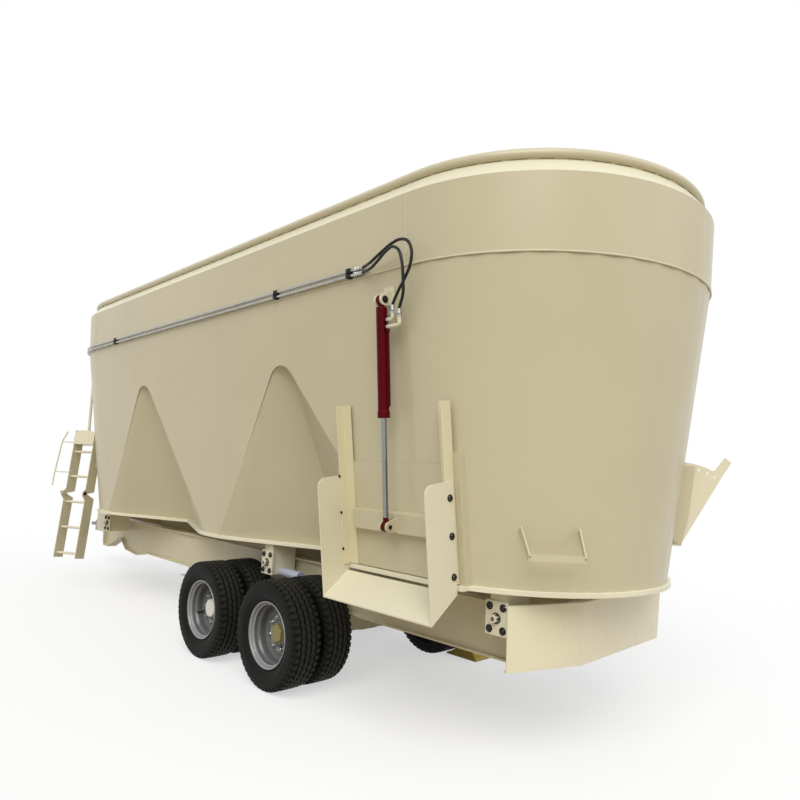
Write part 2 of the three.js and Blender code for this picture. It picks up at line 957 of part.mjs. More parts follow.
function makeFlightKnife(share) {
  const { angle, up, outer } = flightAt(share);
  const low = up + flight_thickness - knife_thickness / 3;
  const reach = outer + knife_reach;
  const tip_share = 0.35;
  const outline = [
    [outer - knife_width, -knife_length / 2],
    [reach, -knife_length * tip_share],
    [reach, knife_length * tip_share],
    [outer - knife_width, knife_length / 2],
  ];
  return solid(plate(outline, "xy", low, knife_thickness).rotateZ(angle));
}

// Gearboxes under the floor, with the bevel box that the drive line runs through
function makeGearbox(x) {
  const top = floor_height - seat_gap - floor_thickness - seat_gap;
  const neck_top = floor_height + auger_clearance - seat_gap;
  const low = shaft_height + bevel_box / 2;
  const profile = [
    [0, low],
    [gearbox_radius, low],
    [gearbox_radius, top - gearbox_flange_height],
    [gearbox_flange_radius, top - gearbox_flange_height],
    [gearbox_flange_radius, top],
    [gearbox_neck_radius, top],
    [gearbox_neck_radius, neck_top],
    [0, neck_top],
  ];
  const drum = new THREE.LatheGeometry(
    profile.map(([r, z]) => new THREE.Vector2(r, z)),
    round_sides,
  );
  drum.rotateX(Math.PI / 2);
  const half = bevel_box / 2;
  const bevel = boxSolid(-half, half, -half, half, shaft_height - half, low + overrun);
  return join(solid(drum), bevel).translate([x, 0, 0]);
}

// A drive shaft with its tube guard between two gearboxes
function makeShaft(from, to) {
  const z = shaft_height;
  const low = Math.min(from, to);
  const high = Math.max(from, to);
  const shaft = barSolid(vector(low, 0, z), vector(high, 0, z), shaft_radius);
  const guard = barSolid(vector(low + stub_length, 0, z), vector(high - stub_length, 0, z), guard_radius);
  return join(shaft, guard);
}

// Chassis beams: a web with two flanges, deeper under the front of the tub
function beamOutline() {
  const top = floor_height - beam_top;
  const bottom = top - beam_depth;
  const deep = top - beam_front_depth;
  const rise_start = front_x - beam_rise_start;
  const rise_middle = front_x - beam_rise_end;
  const step = beam_depth / 4;
  return [
    [beam_rear_end, top],
    [beam_rear_end, bottom + step],
    [beam_rear_end - step, bottom],
    [rise_start + 3 * step, bottom],
    [rise_start, deep],
    [rise_middle + 2 * step, deep + step / 3],
    [rise_middle, bottom + step],
    [rise_middle - step, bottom + step],
    [-beam_front_end + 2 * step, deep],
    [-beam_front_end, deep],
    [-beam_front_end, top],
  ];
}

function makeBeam() {
  const face = -beam_outer_face;
  const outline = beamOutline();
  const web = plateSolid(outline, "xz", face + beam_flange_width / 3, beam_sheet);
  const whole = plateSolid(outline, "xz", face, beam_flange_width);
  const inside = insetOutline(outline, beam_sheet);
  const hollow = plateSolid(inside, "xz", face - overrun, beam_flange_width + 2 * overrun);
  return join(web, cut(whole, hollow));
}

// The same outline moved in by a distance, for outlines whose corners are not sharp
function insetOutline(outline, distance) {
  const count = outline.length;
  let area = 0;
  outline.forEach(([x, y], i) => {
    const [a, b] = outline[(i + 1) % count];
    area += x * b - a * y;
  });
  const turn = Math.sign(area);
  return outline.map((point, i) => {
    const before = outline[(i - 1 + count) % count];
    const after = outline[(i + 1) % count];
    const into = new THREE.Vector2(point[0] - before[0], point[1] - before[1]).normalize();
    const out = new THREE.Vector2(after[0] - point[0], after[1] - point[1]).normalize();
    const first = new THREE.Vector2(-into.y, into.x).multiplyScalar(turn);
    const second = new THREE.Vector2(-out.y, out.x).multiplyScalar(turn);
    const middle = first.clone().add(second).normalize();
    const reach = distance / middle.dot(first);
    return [point[0] + middle.x * reach, point[1] + middle.y * reach];
  });
}

function makeCrossmember(x) {
  const reach = beam_outer_face - beam_flange_width / 3 - beam_sheet - seat_gap;
  const top = floor_height - beam_top - beam_sheet - seat_gap;
  const bottom = shaft_height + guard_radius + crossmember_clearance;
  const half = crossmember_width / 2;
  const outer = boxSolid(x - half, x + half, -reach, reach, bottom, top);
  const inside = boxSolid(
    x - half + sheet,
    x + half - sheet,
    -reach - overrun,
    reach + overrun,
    bottom + sheet,
    top - sheet,
  );
  return cut(outer, inside);
}

// Load cell mounting: a box from the beam to under the floor, and its bolted face plate
function makeLoadCell(x) {
  const bolt_side = -cell_face - cell_plate_sheet;
  const top = floor_height - seat_gap - floor_thickness - seat_gap;
  const z = floor_height - cell_centre_drop;
  const half_height = cell_plate_height / 2;
  const half_box = cell_box_width / 2;
  const low = z - half_height;
  const post = boxSolid(x - half_box, x + half_box, -cell_face, -beam_outer_face - seat_gap, low, top);
  const half_plate = cell_plate_width / 2;
  const face = boxSolid(x - half_plate, x + half_plate, bolt_side, -cell_face, low, z + half_height);
  const pieces = [post, face];
  const spread = cell_bolt_spread / 2;
  for (const dx of [-spread, spread]) {
    for (const dz of [-spread - half_height / 6, spread + half_height / 6]) {
      const from = vector(x + dx, bolt_side + weld_overlap, z + dz);
      pieces.push(barSolid(from, from.clone().setY(bolt_side - bolt_head_height), cell_bolt_radius, 6));
    }
  }
  const nut = vector(x, bolt_side + weld_overlap, z);
  pieces.push(barSolid(nut, nut.clone().setY(bolt_side - cell_nut_length), cell_nut_radius, 6));
  return join(...pieces);
}

// Drawbar: two arms that run together to the hitch, with a front plate and the jack's sleeve
const drawbar_z = floor_height - beam_top - beam_depth / 2;
const hitch_z = drawbar_z - drawbar_drop / 3;
const sleeve_half = jack_sleeve / 2;
const leg_half = jack_leg / 2;

function makeDrawbar() {
  const start = -beam_front_end - seat_gap;
  const end = -drawbar_tip;
  const wide = beam_outer_face - beam_flange_width / 2;
  const half = drawbar_section / 2;
  const head = 2 * drawbar_section;
  const pieces = [];
  for (const side of [-1, 1]) {
    const outline = [
      [start, side * (wide + half / 2)],
      [end + head, side * drawbar_tip_half],
      [end, side * drawbar_tip_half],
      [end, 0],
      [end + head, 0],
      [start, side * (wide - half)],
    ];
    pieces.push(plateSolid(outline, "xy", drawbar_z - half, drawbar_section));
  }
  const plate_half = beam_outer_face;
  const plate_low = drawbar_z - beam_depth / 2;
  const plate_top = drawbar_z + beam_depth / 2;
  pieces.push(boxSolid(start - eye_plate / 2, start, -plate_half, plate_half, plate_low, plate_top));
  const tip = drawbar_tip_half;
  pieces.push(boxSolid(end, end + head, -tip, tip, hitch_z - half, drawbar_z + half));
  const way = vector(start - eye_plate, 0, shaft_height);
  const shaft_way = barSolid(way, way.clone().setX(start + eye_plate), guard_radius + shaft_radius);
  return cut(join(...pieces), shaft_way);
}

function makeHitchEye() {
  const face = -drawbar_tip - seat_gap;
  const half = drawbar_section / 2;
  const wide = drawbar_tip_half;
  const bolt_face = face - eye_plate;
  const flange = boxSolid(bolt_face, face, -wide, wide, hitch_z - half, hitch_z + half);
  const neck_root = vector(bolt_face + weld_overlap, 0, hitch_z);
  const neck = barSolid(neck_root, vector(face - hitch_eye_length, 0, hitch_z), hitch_neck_radius);
  const ring_centre = face - hitch_eye_length - hitch_ring_radius / 2;
  const ring = new THREE.CylinderGeometry(hitch_ring_radius, hitch_ring_radius, eye_plate, round_sides);
  ring.rotateX(Math.PI / 2);
  const bore = new THREE.CylinderGeometry(hitch_bore_radius, hitch_bore_radius, 3 * overrun, round_sides);
  bore.rotateX(Math.PI / 2);
  const bolts = [];
  for (const y of [-1, 1]) {
    for (const z of [-1, 1]) {
      const across = y * wide * hitch_bolt_across_share;
      const from = vector(bolt_face + weld_overlap, across, hitch_z + z * half * hitch_bolt_up_share);
      bolts.push(barSolid(from, from.clone().setX(bolt_face - bolt_head_height), bolt_head_radius, 6));
    }
  }
  return cut(
    join(flange, neck, solid(ring.translate(ring_centre, 0, hitch_z)), ...bolts),
    solid(bore.translate(ring_centre, 0, hitch_z)),
  );
}

// Parking jack: a sleeve on a plate that is bolted to the far beam, and the leg that slides in it
const jack_top = floor_height - beam_top + jack_sleeve;

function makeJackSleeve() {
  const x = -jack_place;
  const low = jack_top - jack_sleeve_length;
  const near = beam_outer_face + seat_gap;
  const bolt_face = near + eye_plate / 2;
  const sleeve = boxSolid(
    x - sleeve_half,
    x + sleeve_half,
    jack_side - sleeve_half,
    jack_side + sleeve_half,
    low,
    jack_top,
  );
  const bore_half = leg_half + pin_clearance;
  const bore = boxSolid(
    x - bore_half,
    x + bore_half,
    jack_side - bore_half,
    jack_side + bore_half,
    low - overrun,
    jack_top - sheet,
  );
  const plate_low = floor_height - beam_top - beam_depth / 2;
  const plate_top = floor_height - beam_top - beam_sheet;
  const flange = boxSolid(x - jack_sleeve, x + jack_sleeve, near, bolt_face, plate_low, plate_top);
  const arm = boxSolid(
    x - sleeve_half / 2,
    x + sleeve_half / 2,
    bolt_face - weld_overlap,
    jack_side - sleeve_half + weld_overlap,
    plate_low,
    plate_top,
  );
  const crank_z = jack_top - sleeve_half;
  const crank_start = vector(x, jack_side + sleeve_half - weld_overlap, crank_z);
  const crank_end = crank_start.clone().setY(jack_side + sleeve_half + jack_crank_reach / 2);
  const handle_end = crank_end.clone().setX(x + jack_crank_reach);
  const crank = barSolid(crank_start, crank_end, jack_crank_radius, small_sides);
  const handle_start = crank_end.clone().setX(x - jack_crank_radius);
  const handle = barSolid(handle_start, handle_end, jack_crank_radius, small_sides);
  return cut(join(sleeve, flange, arm, crank, handle), bore);
}

function makeJackLeg() {
  const x = -jack_place;
  const leg = boxSolid(
    x - leg_half,
    x + leg_half,
    jack_side - leg_half,
    jack_side + leg_half,
    jack_foot_sheet / 2,
    jack_top - sheet - jack_travel,
  );
  const half = jack_foot / 2;
  const foot = boxSolid(x - half, x + half, jack_side - half, jack_side + half, 0, jack_foot_sheet);
  return join(leg, foot);
}

// The middle of a pair of wheels, and how far out its spindle reaches
const twin_middle = wheel_outer_face - rim_width / 2 - twin_spacing / 2;
const spindle_tip = twin_middle + wheel_disc;

// Axles, each with a square beam, two seats under the chassis beams and round spindles
function makeAxle(x) {
  const z = tyre_radius;
  const half = axle_section / 2;
  const inner_wall = wheel_outer_face - rim_width - twin_spacing;
  const beam_half = inner_wall - overrun / 2;
  const pieces = [boxSolid(x - half, x + half, -beam_half, beam_half, z - half, z + half)];
  const seat_top = floor_height - beam_top - beam_depth - seat_gap;
  for (const side of [-1, 1]) {
    const near = side * (beam_outer_face - beam_flange_width);
    const far = side * beam_outer_face;
    const outline = [
      [x - seat_length / 2, seat_top],
      [x + seat_length / 2, seat_top],
      [x + half, z - half / 2],
      [x - half, z - half / 2],
    ];
    pieces.push(plateSolid(outline, "xz", Math.min(near, far), beam_flange_width));
    const root = vector(x, side * (beam_half - weld_overlap), z);
    pieces.push(barSolid(root, vector(x, side * spindle_tip, z), spindle_radius));
  }
  return join(...pieces);
}

// Wheel: twin rims on one hub, as a turned profile of [radius, out from the trailer's centre line]
function rimSide(face, end) {
  const flange = rim_sheet + seat_gap;
  return [
    [rim_radius, face],
    [rim_radius, face - flange],
    [bead_radius, face - flange],
    [rim_well_radius, face - rim_width * rim_well_share],
    [rim_well_radius, end],
  ];
}

function turned(profile, segments) {
  const points = profile.map(([r, y]) => new THREE.Vector2(r, y)).reverse();
  points.push(points[0].clone());
  return new THREE.LatheGeometry(points, segments, Math.PI / segments);
}

function makeWheelHub() {
  const outer = rimSide(wheel_outer_face, twin_middle);
  const inner_face = 2 * twin_middle - wheel_outer_face;
  const inner = outer.map(([r, y]) => [r, 2 * twin_middle - y]).reverse();
  const half_disc = wheel_disc / 2;
  const bore = spindle_radius + spindle_clearance;
  const well = rim_well_radius - rim_sheet;
  const lip = bead_radius - rim_sheet / 2;
  const well_depth = rim_width * rim_well_share;
  const cap_face = twin_middle + hub_cap_reach;
  const hub_end = inner_face + rim_width;
  const profile = [
    [0, cap_face],
    [hub_cap_radius, cap_face],
    [hub_radius, twin_middle + half_disc],
    [well, twin_middle + half_disc],
    [well, wheel_outer_face - well_depth],
    [lip, wheel_outer_face],
    ...outer,
    ...inner.slice(1),
    [lip, inner_face],
    [well, inner_face + well_depth],
    [well, twin_middle - half_disc],
    [hub_radius, twin_middle - half_disc],
    [hub_radius, hub_end],
    [bore, hub_end],
    [bore, spindle_tip + spindle_clearance],
    [0, spindle_tip + spindle_clearance],
  ];
  return turned(profile, wheel_segments);
}

function makeTyre(centre) {
  const half = tyre_width / 2;
  const bead = bead_radius + seat_gap;
  const height = tyre_radius / Math.cos(Math.PI / wheel_segments) - bead;
  const outer = tyre_side_shares.map(([up, wide]) => [bead + height * up, centre + half * wide]);
  const inner = tyre_side_shares.map(([up, wide]) => [bead + height * up, centre - half * wide]).reverse();
  return turned([...outer, ...inner], wheel_segments);
}

// Door, with the channel across it and the ears for the cylinder's rod
function makeDoor() {
  const near = door_gap;
  const door_top = door_bottom + door_height;
  const pieces = [panelBox(door_low, door_high, near, near + door_sheet, door_bottom, door_top)];
  const bar_low = door_low + guide_lap + crossbar_end_gap;
  const bar_high = door_high - guide_lap - crossbar_end_gap;
  const back = near + door_sheet - weld_overlap;
  const face = back + crossbar_depth;
  const bar_top = crossbar_bottom + crossbar_height;
  const channel = panelBox(bar_low, bar_high, back, face, crossbar_bottom, bar_top);
  const hollow = panelBox(
    bar_low - overrun,
    bar_high + overrun,
    near + door_sheet,
    face - guide_sheet,
    crossbar_bottom + guide_sheet,
    bar_top - guide_sheet,
  );
  pieces.push(cut(channel, hollow));
  const ear_half = eye_width / 2 + ear_gap;
  for (const side of [-1, 1]) {
    const x0 = cylinder_x + side * ear_half;
    const x1 = cylinder_x + side * (ear_half + ear_sheet);
    const outline = [
      [weld_overlap - face, rod_pin_up + ear_half_height * ear_root_share],
      [weld_overlap - face, rod_pin_up - ear_half_height * ear_root_share],
      ...arc(-rod_pin_out, rod_pin_up, eye_radius, -90, -270, 6),
    ];
    pieces.push(onPanel(plate(outline, "yz", Math.min(x0, x1), ear_sheet)));
  }
  pieces.push(pinSolid(rod_pin_out, rod_pin_up, ear_half + ear_sheet + ear_gap));
  return join(...pieces);
}

function pinSolid(out, up, half) {
  return barSolid(panelPoint(cylinder_x - half, out, up), panelPoint(cylinder_x + half, out, up), pin_radius);
}

// A door guide: a foot on the frame, a strip that laps the door's edge, and a standing leg
function makeGuide(side) {
  const edge = side < 0 ? door_low : door_high;
  const clear = guide_clearance;
  const span = (a, b) => [edge + side * a, edge + side * b].sort((one, other) => one - other);
  const foot_thickness = 2 * door_gap + door_sheet;
  const lap_start = door_gap + door_sheet + seat_gap;
  const [f0, f1] = span(clear, clear + guide_foot_width);
  const [c0, c1] = span(-guide_lap, clear + guide_foot_width);
  const [l0, l1] = span(clear + guide_foot_width - guide_sheet, clear + guide_foot_width);
  const start = seat_gap;
  return join(
    panelBox(f0, f1, start, foot_thickness, door_bottom, guide_height),
    panelBox(c0, c1, lap_start, foot_thickness + guide_sheet, door_bottom, guide_height),
    panelBox(l0, l1, foot_thickness, foot_thickness + guide_leg, door_bottom, guide_height),
  );
}

// The chute: a sloping floor between two cheeks that are bolted to the guides' legs
function makeChute() {
  const clear = guide_clearance;
  const leg_out = 2 * door_gap + door_sheet;
  const pieces = [];
  for (const side of [-1, 1]) {
    const edge = side < 0 ? door_low : door_high;
    const x0 = edge + side * (clear + guide_foot_width + seat_gap);
    const x1 = x0 + side * cheek_sheet;
    const inner = leg_out + guide_sheet;
    const outer = inner + cheek_width;
    const outline = [
      [-inner, cheek_top],
      [-inner, cheek_notch_top],
      [-cheek_notch, cheek_notch_top],
      [-cheek_notch, chute_back],
      [-outer, cheek_bottom],
      ...arc(-outer + cheek_corner, cheek_top - cheek_corner, cheek_corner, 180, 90, 5),
    ];
    pieces.push(onPanel(plate(outline, "yz", Math.min(x0, x1), cheek_sheet)));
    for (const share of cheek_bolt_places_share) {
      const up = cheek_bottom + (cheek_top - cheek_bottom) * share;
      const out = inner + guide_leg / 2;
      const from = panelPoint(x1 - side * weld_overlap, out, up);
      pieces.push(barSolid(from, from.clone().setX(x1 + side * bolt_head_height), bolt_head_radius, 6));
    }
  }
  const low = door_low - clear - guide_foot_width - seat_gap;
  const high = door_high + clear + guide_foot_width + seat_gap;
  const near = chute_clearance;
  const far = leg_out + guide_sheet + cheek_width;
  const floor = [
    [-near, chute_back],
    [-far, cheek_bottom],
    [-far, cheek_bottom + chute_floor_sheet],
    [-near, chute_back + chute_floor_sheet],
  ];
  pieces.push(onPanel(plate(floor, "yz", low - weld_overlap, high - low + 2 * weld_overlap)));
  return join(...pieces);
}

// Door cylinder, in a frame with z from the rod's pin to the top pin
const cylinder_low = panelPoint(cylinder_x, rod_pin_out, rod_pin_up);
const cylinder_high = panelPoint(cylinder_x, top_pin_out, top_pin_up);
const cylinder_length = cylinder_low.distanceTo(cylinder_high);
const cylinder_lean = Math.atan2(cylinder_low.y - cylinder_high.y, cylinder_high.z - cylinder_low.z);
const cylinder_frame = new THREE.Matrix4()
  .makeTranslation(cylinder_low.x, cylinder_low.y, cylinder_low.z)
  .multiply(new THREE.Matrix4().makeRotationX(cylinder_lean));

const port_reach = [upper_port_reach, lower_port_reach];
const port_heights = [upper_port_height, lower_port_height];

function inCylinder(geometry) {
  return solid(place(geometry, cylinder_frame));
}

function upright(radius, low, high, sides = round_sides) {
  return bar(vector(0, 0, low), vector(0, 0, high), radius, sides);
}

function eye(up, radius, width) {
  return bar(vector(-width / 2, 0, up), vector(width / 2, 0, up), radius);
}

function makeRod() {
  const gland_low = cylinder_length - barrel_length;
  const piston_low = gland_low + gland_length + 2 * ear_gap;
  const pieces = [
    inCylinder(upright(rod_radius, eye_radius / 2, piston_low + weld_overlap)),
    inCylinder(upright(barrel_bore - piston_clearance, piston_low, piston_low + piston_length)),
    inCylinder(eye(0, eye_radius, eye_width)),
    inCylinder(upright(eye_width / 2, eye_radius / 2, rod_neck_top, 6)),
  ];
  const bore = inCylinder(eye(0, pin_radius + open_pivot_clearance, eye_width + overrun));
  return cut(join(...pieces), bore);
}

function makeBarrel() {
  const low = cylinder_length - barrel_length;
  const top = cylinder_length - barrel_top_drop;
  const shell = inCylinder(upright(barrel_radius, low, top));
  const gland = inCylinder(upright(barrel_radius + gland_lip, low, low + gland_length));
  const bore = inCylinder(upright(barrel_bore, low + gland_length, top - gland_length / 2));
  const way_radius = rod_radius + rod_clearance;
  const rod_way = inCylinder(upright(way_radius, low - overrun, low + gland_length + overrun));
  const lug = inCylinder(upright(eye_width / 2, top - weld_overlap, cylinder_length));
  const end_eye = inCylinder(eye(cylinder_length, eye_radius, eye_width));
  const pin_way = inCylinder(eye(cylinder_length, pin_radius + pin_clearance, eye_width + overrun));
  const side = barrel_radius + pipe_radius + side_pipe_gap;
  const block_low = top - port_block_drop - port_block_height;
  const block_top = top - port_block_drop;
  const side_pipe = [
    vector(barrel_radius - port_root, 0, low + gland_length + side_pipe_start),
    vector(side, 0, low + gland_length + side_pipe_start),
    vector(side, 0, block_low + port_root),
  ];
  const block_end = port_reach[1] + fitting_radius;
  const half = port_block_width / 2;
  const block_root = vector(barrel_radius - port_root, -half, block_low);
  const block = inCylinder(box(block_root, vector(block_end, half, block_top)));
  const ports = port_reach.map((reach, i) => {
    const root = vector(reach, 0, block_top - port_root);
    return inCylinder(bar(root, vector(reach, 0, block_top + port_heights[i]), fitting_radius, 6));
  });
  const pipe = inCylinder(bentTube(side_pipe, side_pipe_radius, side_pipe_bend));
  return cut(join(shell, gland, lug, end_eye, pipe, block, ...ports), bore, rod_way, pin_way);
}

function makeCylinderBracket() {
  const ear_half = eye_width / 2 + ear_gap;
  const back = panelBox(
    cylinder_x - ear_half - ear_sheet - bracket_margin,
    cylinder_x + ear_half + ear_sheet + bracket_margin,
    seat_gap,
    ear_sheet,
    top_pin_up - bracket_half_height,
    top_pin_up + bracket_half_height,
  );
  const pieces = [back];
  for (const side of [-1, 1]) {
    const x0 = cylinder_x + side * ear_half;
    const x1 = x0 + side * ear_sheet;
    const outline = [
      [weld_overlap - ear_sheet, top_pin_up + ear_half_height],
      [weld_overlap - ear_sheet, top_pin_up - eye_radius],
      ...arc(-top_pin_out, top_pin_up, bracket_eye_radius, -90, -270, 6),
    ];
    pieces.push(onPanel(plate(outline, "yz", Math.min(x0, x1), ear_sheet)));
  }
  pieces.push(pinSolid(top_pin_out, top_pin_up, ear_half + ear_sheet + pin_head_reach));
  return join(...pieces);
}

// Steel pipes of the door cylinder: along the side, round the front and down to the drawbar
function pipeLine(up) {
  const z = floor_height + pipe_height + up;
  const radius = seam_radius + pipe_stand_off;
  const points = [vector(pipe_end_x, -radius, z), vector(front_x / 2, -radius, z)];
  const from = 270;
  const steps = 8;
  for (let i = 0; i <= steps; i++) {
    const angle = THREE.MathUtils.degToRad(from + ((pipe_front_angle - from) * i) / steps);
    points.push(vector(front_x + radius * Math.cos(angle), radius * Math.sin(angle), z));
  }
  return points;
}

function makePipes() {
  const pieces = [];
  for (const up of [-pipe_spacing / 2, pipe_spacing / 2]) {
    const line = pipeLine(up);
    pieces.push(solid(loft(ringsAlong(line, pipe_radius, small_sides))));
    const start = vector(pipe_end_x - weld_overlap, line[0].y, line[0].z);
    pieces.push(barSolid(start, start.clone().setX(pipe_end_x + fitting_length), fitting_radius, 6));
  }
  const z = floor_height + pipe_height;
  const half = pipe_spacing / 2 + pipe_radius + clamp_margin;
  const foot = -(seam_radius + seat_gap + clamp_stand_off);
  const places = [front_x + clamp_front_reach, -clamp_middle_reach, pipe_end_x - clamp_length * 2];
  for (const x of places) {
    pieces.push(boxSolid(x, x + clamp_length, foot - pipe_stand_off - pipe_radius, foot, z - half, z + half));
  }
  return join(...pieces);
}

// Hoses from the pipes' fittings, up in an arch and down to the cylinder's ports
function cylinderPoint(x, out, up) {
  return vector(x, -out, up).applyMatrix4(cylinder_frame);
}

function makeHose(points) {
  return tube(points, hose_radius, hose_sides, hose_step);
}

// Ladder at the front corner: rungs between two side plates, in two sections that fold at pivots
const ladder_radius = panelRadius(ladder_top) + ladder_stand_off;
const ladder_place = radialFrame(ladder_place_angle, ladder_radius, floor_height);
const ladder_foot = vector(front_x, 0, 0).add(vector(0, 0, 0).applyMatrix4(ladder_place));
const ladder_frame = new THREE.Matrix4()
  .makeTranslation(ladder_foot.x, ladder_foot.y, ladder_foot.z)
  .multiply(new THREE.Matrix4().makeRotationZ(THREE.MathUtils.degToRad(rung_angle)))
  .multiply(new THREE.Matrix4().makeTranslation(0, 0, ladder_bottom))
  .multiply(new THREE.Matrix4().makeRotationX(THREE.MathUtils.degToRad(-ladder_lean)));
const ladder_stretch = 1 / Math.cos(THREE.MathUtils.degToRad(ladder_lean));
const ladder_length = (ladder_top - ladder_bottom) * ladder_stretch;
const pivot_up = (ladder_pivot - ladder_bottom) * ladder_stretch;
const pivot_front = -ladder_depth / 2 - pivot_reach;

function inLadder(geometry) {
  return solid(place(geometry, ladder_frame));
}

function ladderBox(x0, x1, y0, y1, z0, z1) {
  return inLadder(box(vector(x0, y0, z0), vector(x1, y1, z1)));
}

function makeLadderLower() {
  const half = ladder_width / 2;
  const front = -ladder_depth / 2;
  const pieces = [];
  for (const side of [-1, 1]) {
    const x0 = side * half;
    const x1 = side * (half - ladder_sheet);
    const outline = [
      [front, 0],
      [-front, 0],
      [-front, pivot_up - 2 * pivot_reach],
      [0, pivot_up - pivot_reach],
      ...arc(pivot_front, pivot_up, pivot_reach, 20, 180, 5),
      [pivot_front - pivot_reach, pivot_up - pivot_reach],
      [front, pivot_up - 3 * pivot_reach],
    ];
    pieces.push(inLadder(plate(outline, "yz", Math.min(x0, x1), ladder_sheet)));
  }
  for (let up = lowest_rung; up < pivot_up - 3 * pivot_reach; up += rung_spacing * ladder_stretch) {
    const from = vector(rung_inset - half, front / 3, up);
    pieces.push(inLadder(bar(from, from.clone().setX(half - rung_inset), rung_radius, small_sides)));
  }
  for (const side of [-1, 1]) {
    const from = vector(side * (half - rung_inset), pivot_front, pivot_up);
    const to = vector(side * (half + bolt_head_height), pivot_front, pivot_up);
    pieces.push(inLadder(bar(from, to, bolt_head_radius, 6)));
    const stub = vector(side * (half - 2 * ladder_sheet - ladder_side_gap), pivot_front, pivot_up);
    pieces.push(inLadder(bar(stub, from, ladder_pin_radius)));
  }
  return join(...pieces);
}

function makeLadderUpper() {
  const half = ladder_width / 2 - ladder_sheet - ladder_side_gap;
  const front = -ladder_depth / 2;
  const pieces = [];
  const corner = ladder_plate_corner;
  const plate_low = ladder_length - ladder_plate_height;
  for (const side of [-1, 1]) {
    const x0 = side * half;
    const x1 = side * (half - ladder_sheet);
    const outline = [
      [-front, pivot_up + pivot_reach],
      [-front, ladder_length],
      [front, ladder_length],
      [front, pivot_up + 2 * pivot_reach],
      ...arc(pivot_front, pivot_up, pivot_hook_radius, 150, 330, 5),
    ];
    const hole = [pivot_front, pivot_up, ladder_pin_radius + ladder_pin_clearance];
    pieces.push(inLadder(plate(outline, "yz", Math.min(x0, x1), ladder_sheet, [hole])));
  }
  const outline = [
    [-half, plate_low],
    [half, plate_low],
    [half, ladder_length - corner],
    ...arc(half - corner, ladder_length - corner, corner, 0, 90, 4),
    ...arc(-half + corner, ladder_length - corner, corner, 90, 180, 4),
  ];
  pieces.push(inLadder(plate(outline, "xz", front - ladder_sheet + weld_overlap, ladder_sheet)));
  const tread_half = half - weld_overlap;
  pieces.push(ladderBox(-tread_half, tread_half, front, -front, plate_low, plate_low + ladder_sheet));
  for (let up = pivot_up + first_upper_rung; up < plate_low; up += rung_spacing * ladder_stretch) {
    const from = vector(rung_inset - half, front / 3, up);
    pieces.push(inLadder(bar(from, from.clone().setX(half - rung_inset), rung_radius, small_sides)));
  }
  const grab = grab_rail_shares.map(([out, down]) => {
    return vector(-half - grab_reach * out, front, ladder_length - grab_length * down);
  });
  pieces.push(inLadder(bentTube(grab, grab_radius, 3 * grab_radius)));
  for (const share of grab_stay_shares) {
    const up = ladder_length - grab_length * share;
    const stay = vector(-half + ladder_sheet / 2, front + grab_radius, up);
    const rail = vector(-half - grabReach(share), front, up);
    pieces.push(inLadder(bar(rail, stay, grab_stay_radius, small_sides)));
  }
  const inward = vector(front_x, 0, 0);
  const foot = vector(0, 0, plate_low + ladder_sheet / 2).applyMatrix4(ladder_frame);
  const top = foot.clone().setZ(floor_height + ladder_top + handrail_top);
  const wall_end = inward.setZ(top.z).sub(top).normalize().multiplyScalar(3 * overrun + ladder_width);
  pieces.push(solid(bentTube([foot, top, top.clone().add(wall_end)], rail_radius, handrail_bend)));
  for (const drop of [upper_stay_drop, lower_stay_drop]) {
    const up = ladder_length - drop;
    const near = -front - 4 * wall_stay_sheet;
    const stay_end = half + ladder_width;
    pieces.push(ladderBox(half - weld_overlap, stay_end, near, -front, up - wall_stay_sheet, up));
  }
  return largest(cut(join(...pieces), tubOutside(seat_gap)));
}

// How far the grab rail stands out from the side plate at a share of its length below the ladder's top
function grabReach(share) {
  for (let i = 1; i < grab_rail_shares.length; i++) {
    const [out0, down0] = grab_rail_shares[i - 1];
    const [out1, down1] = grab_rail_shares[i];
    if (share >= down0 && share <= down1) {
      return grab_reach * (out0 + ((out1 - out0) * (share - down0)) / (down1 - down0));
    }
  }
  return grab_reach * grab_rail_shares[0][0];
}

// Rear guard: a folded plate round the rear end of the chassis, with turned-in lips
function guardLine(offset) {
  const side_angle = Math.atan2(guard_side_y - guard_rear_half, guard_rear_x - guard_side_x);
  const mitre = Math.tan((Math.PI / 2 - side_angle) / 2);
  return [
    [guard_side_x + offset * Math.sin(side_angle), -guard_side_y - offset * Math.cos(side_angle)],
    [guard_rear_x + offset, -guard_rear_half - offset * mitre],
    [guard_far_x + offset, guard_far_y],
  ];
}

// How far back the guard's middle sheet is at a place across the machine
function guardReach(y) {
  const line = guardLine(-guard_sheet / 2);
  const [from, to] = y < line[1][1] ? [line[0], line[1]] : [line[1], line[2]];
  return from[0] + ((to[0] - from[0]) * (y - from[1])) / (to[1] - from[1]);
}

function makeRearGuard() {
  const top = floor_height - guard_top_drop;
  const bottom = top - guard_height;
  const outer = guardLine(0);
  const skin = [...outer, ...guardLine(-guard_sheet).reverse()];
  const lip = [...outer, ...guardLine(-guard_lip).reverse()];
  const pieces = [
    plateSolid(skin, "xy", bottom, guard_height),
    plateSolid(lip, "xy", top - guard_sheet, guard_sheet),
    plateSolid(lip, "xy", bottom, guard_sheet),
  ];
  for (const side of [-1, 1]) {
    const y0 = side * (beam_outer_face - beam_flange_width);
    const y1 = side * (beam_outer_face - beam_flange_width + guard_sheet * 2);
    pieces.push(
      boxSolid(
        beam_rear_end + seat_gap,
        guardReach(y0),
        Math.min(y0, y1),
        Math.max(y0, y1),
        bottom + 2 * guard_lip,
        top - 2 * guard_lip,
      ),
    );
  }
  const slant = [
    [guard_far_y - guard_end_slant, bottom - overrun],
    [guard_far_y, top],
    [guard_far_y, top + overrun],
    [guard_far_y + overrun, top + overrun],
    [guard_far_y + overrun, bottom - overrun],
  ];
  return cut(join(...pieces), plateSolid(slant, "yz", 0, 2 * guard_rear_x));
}

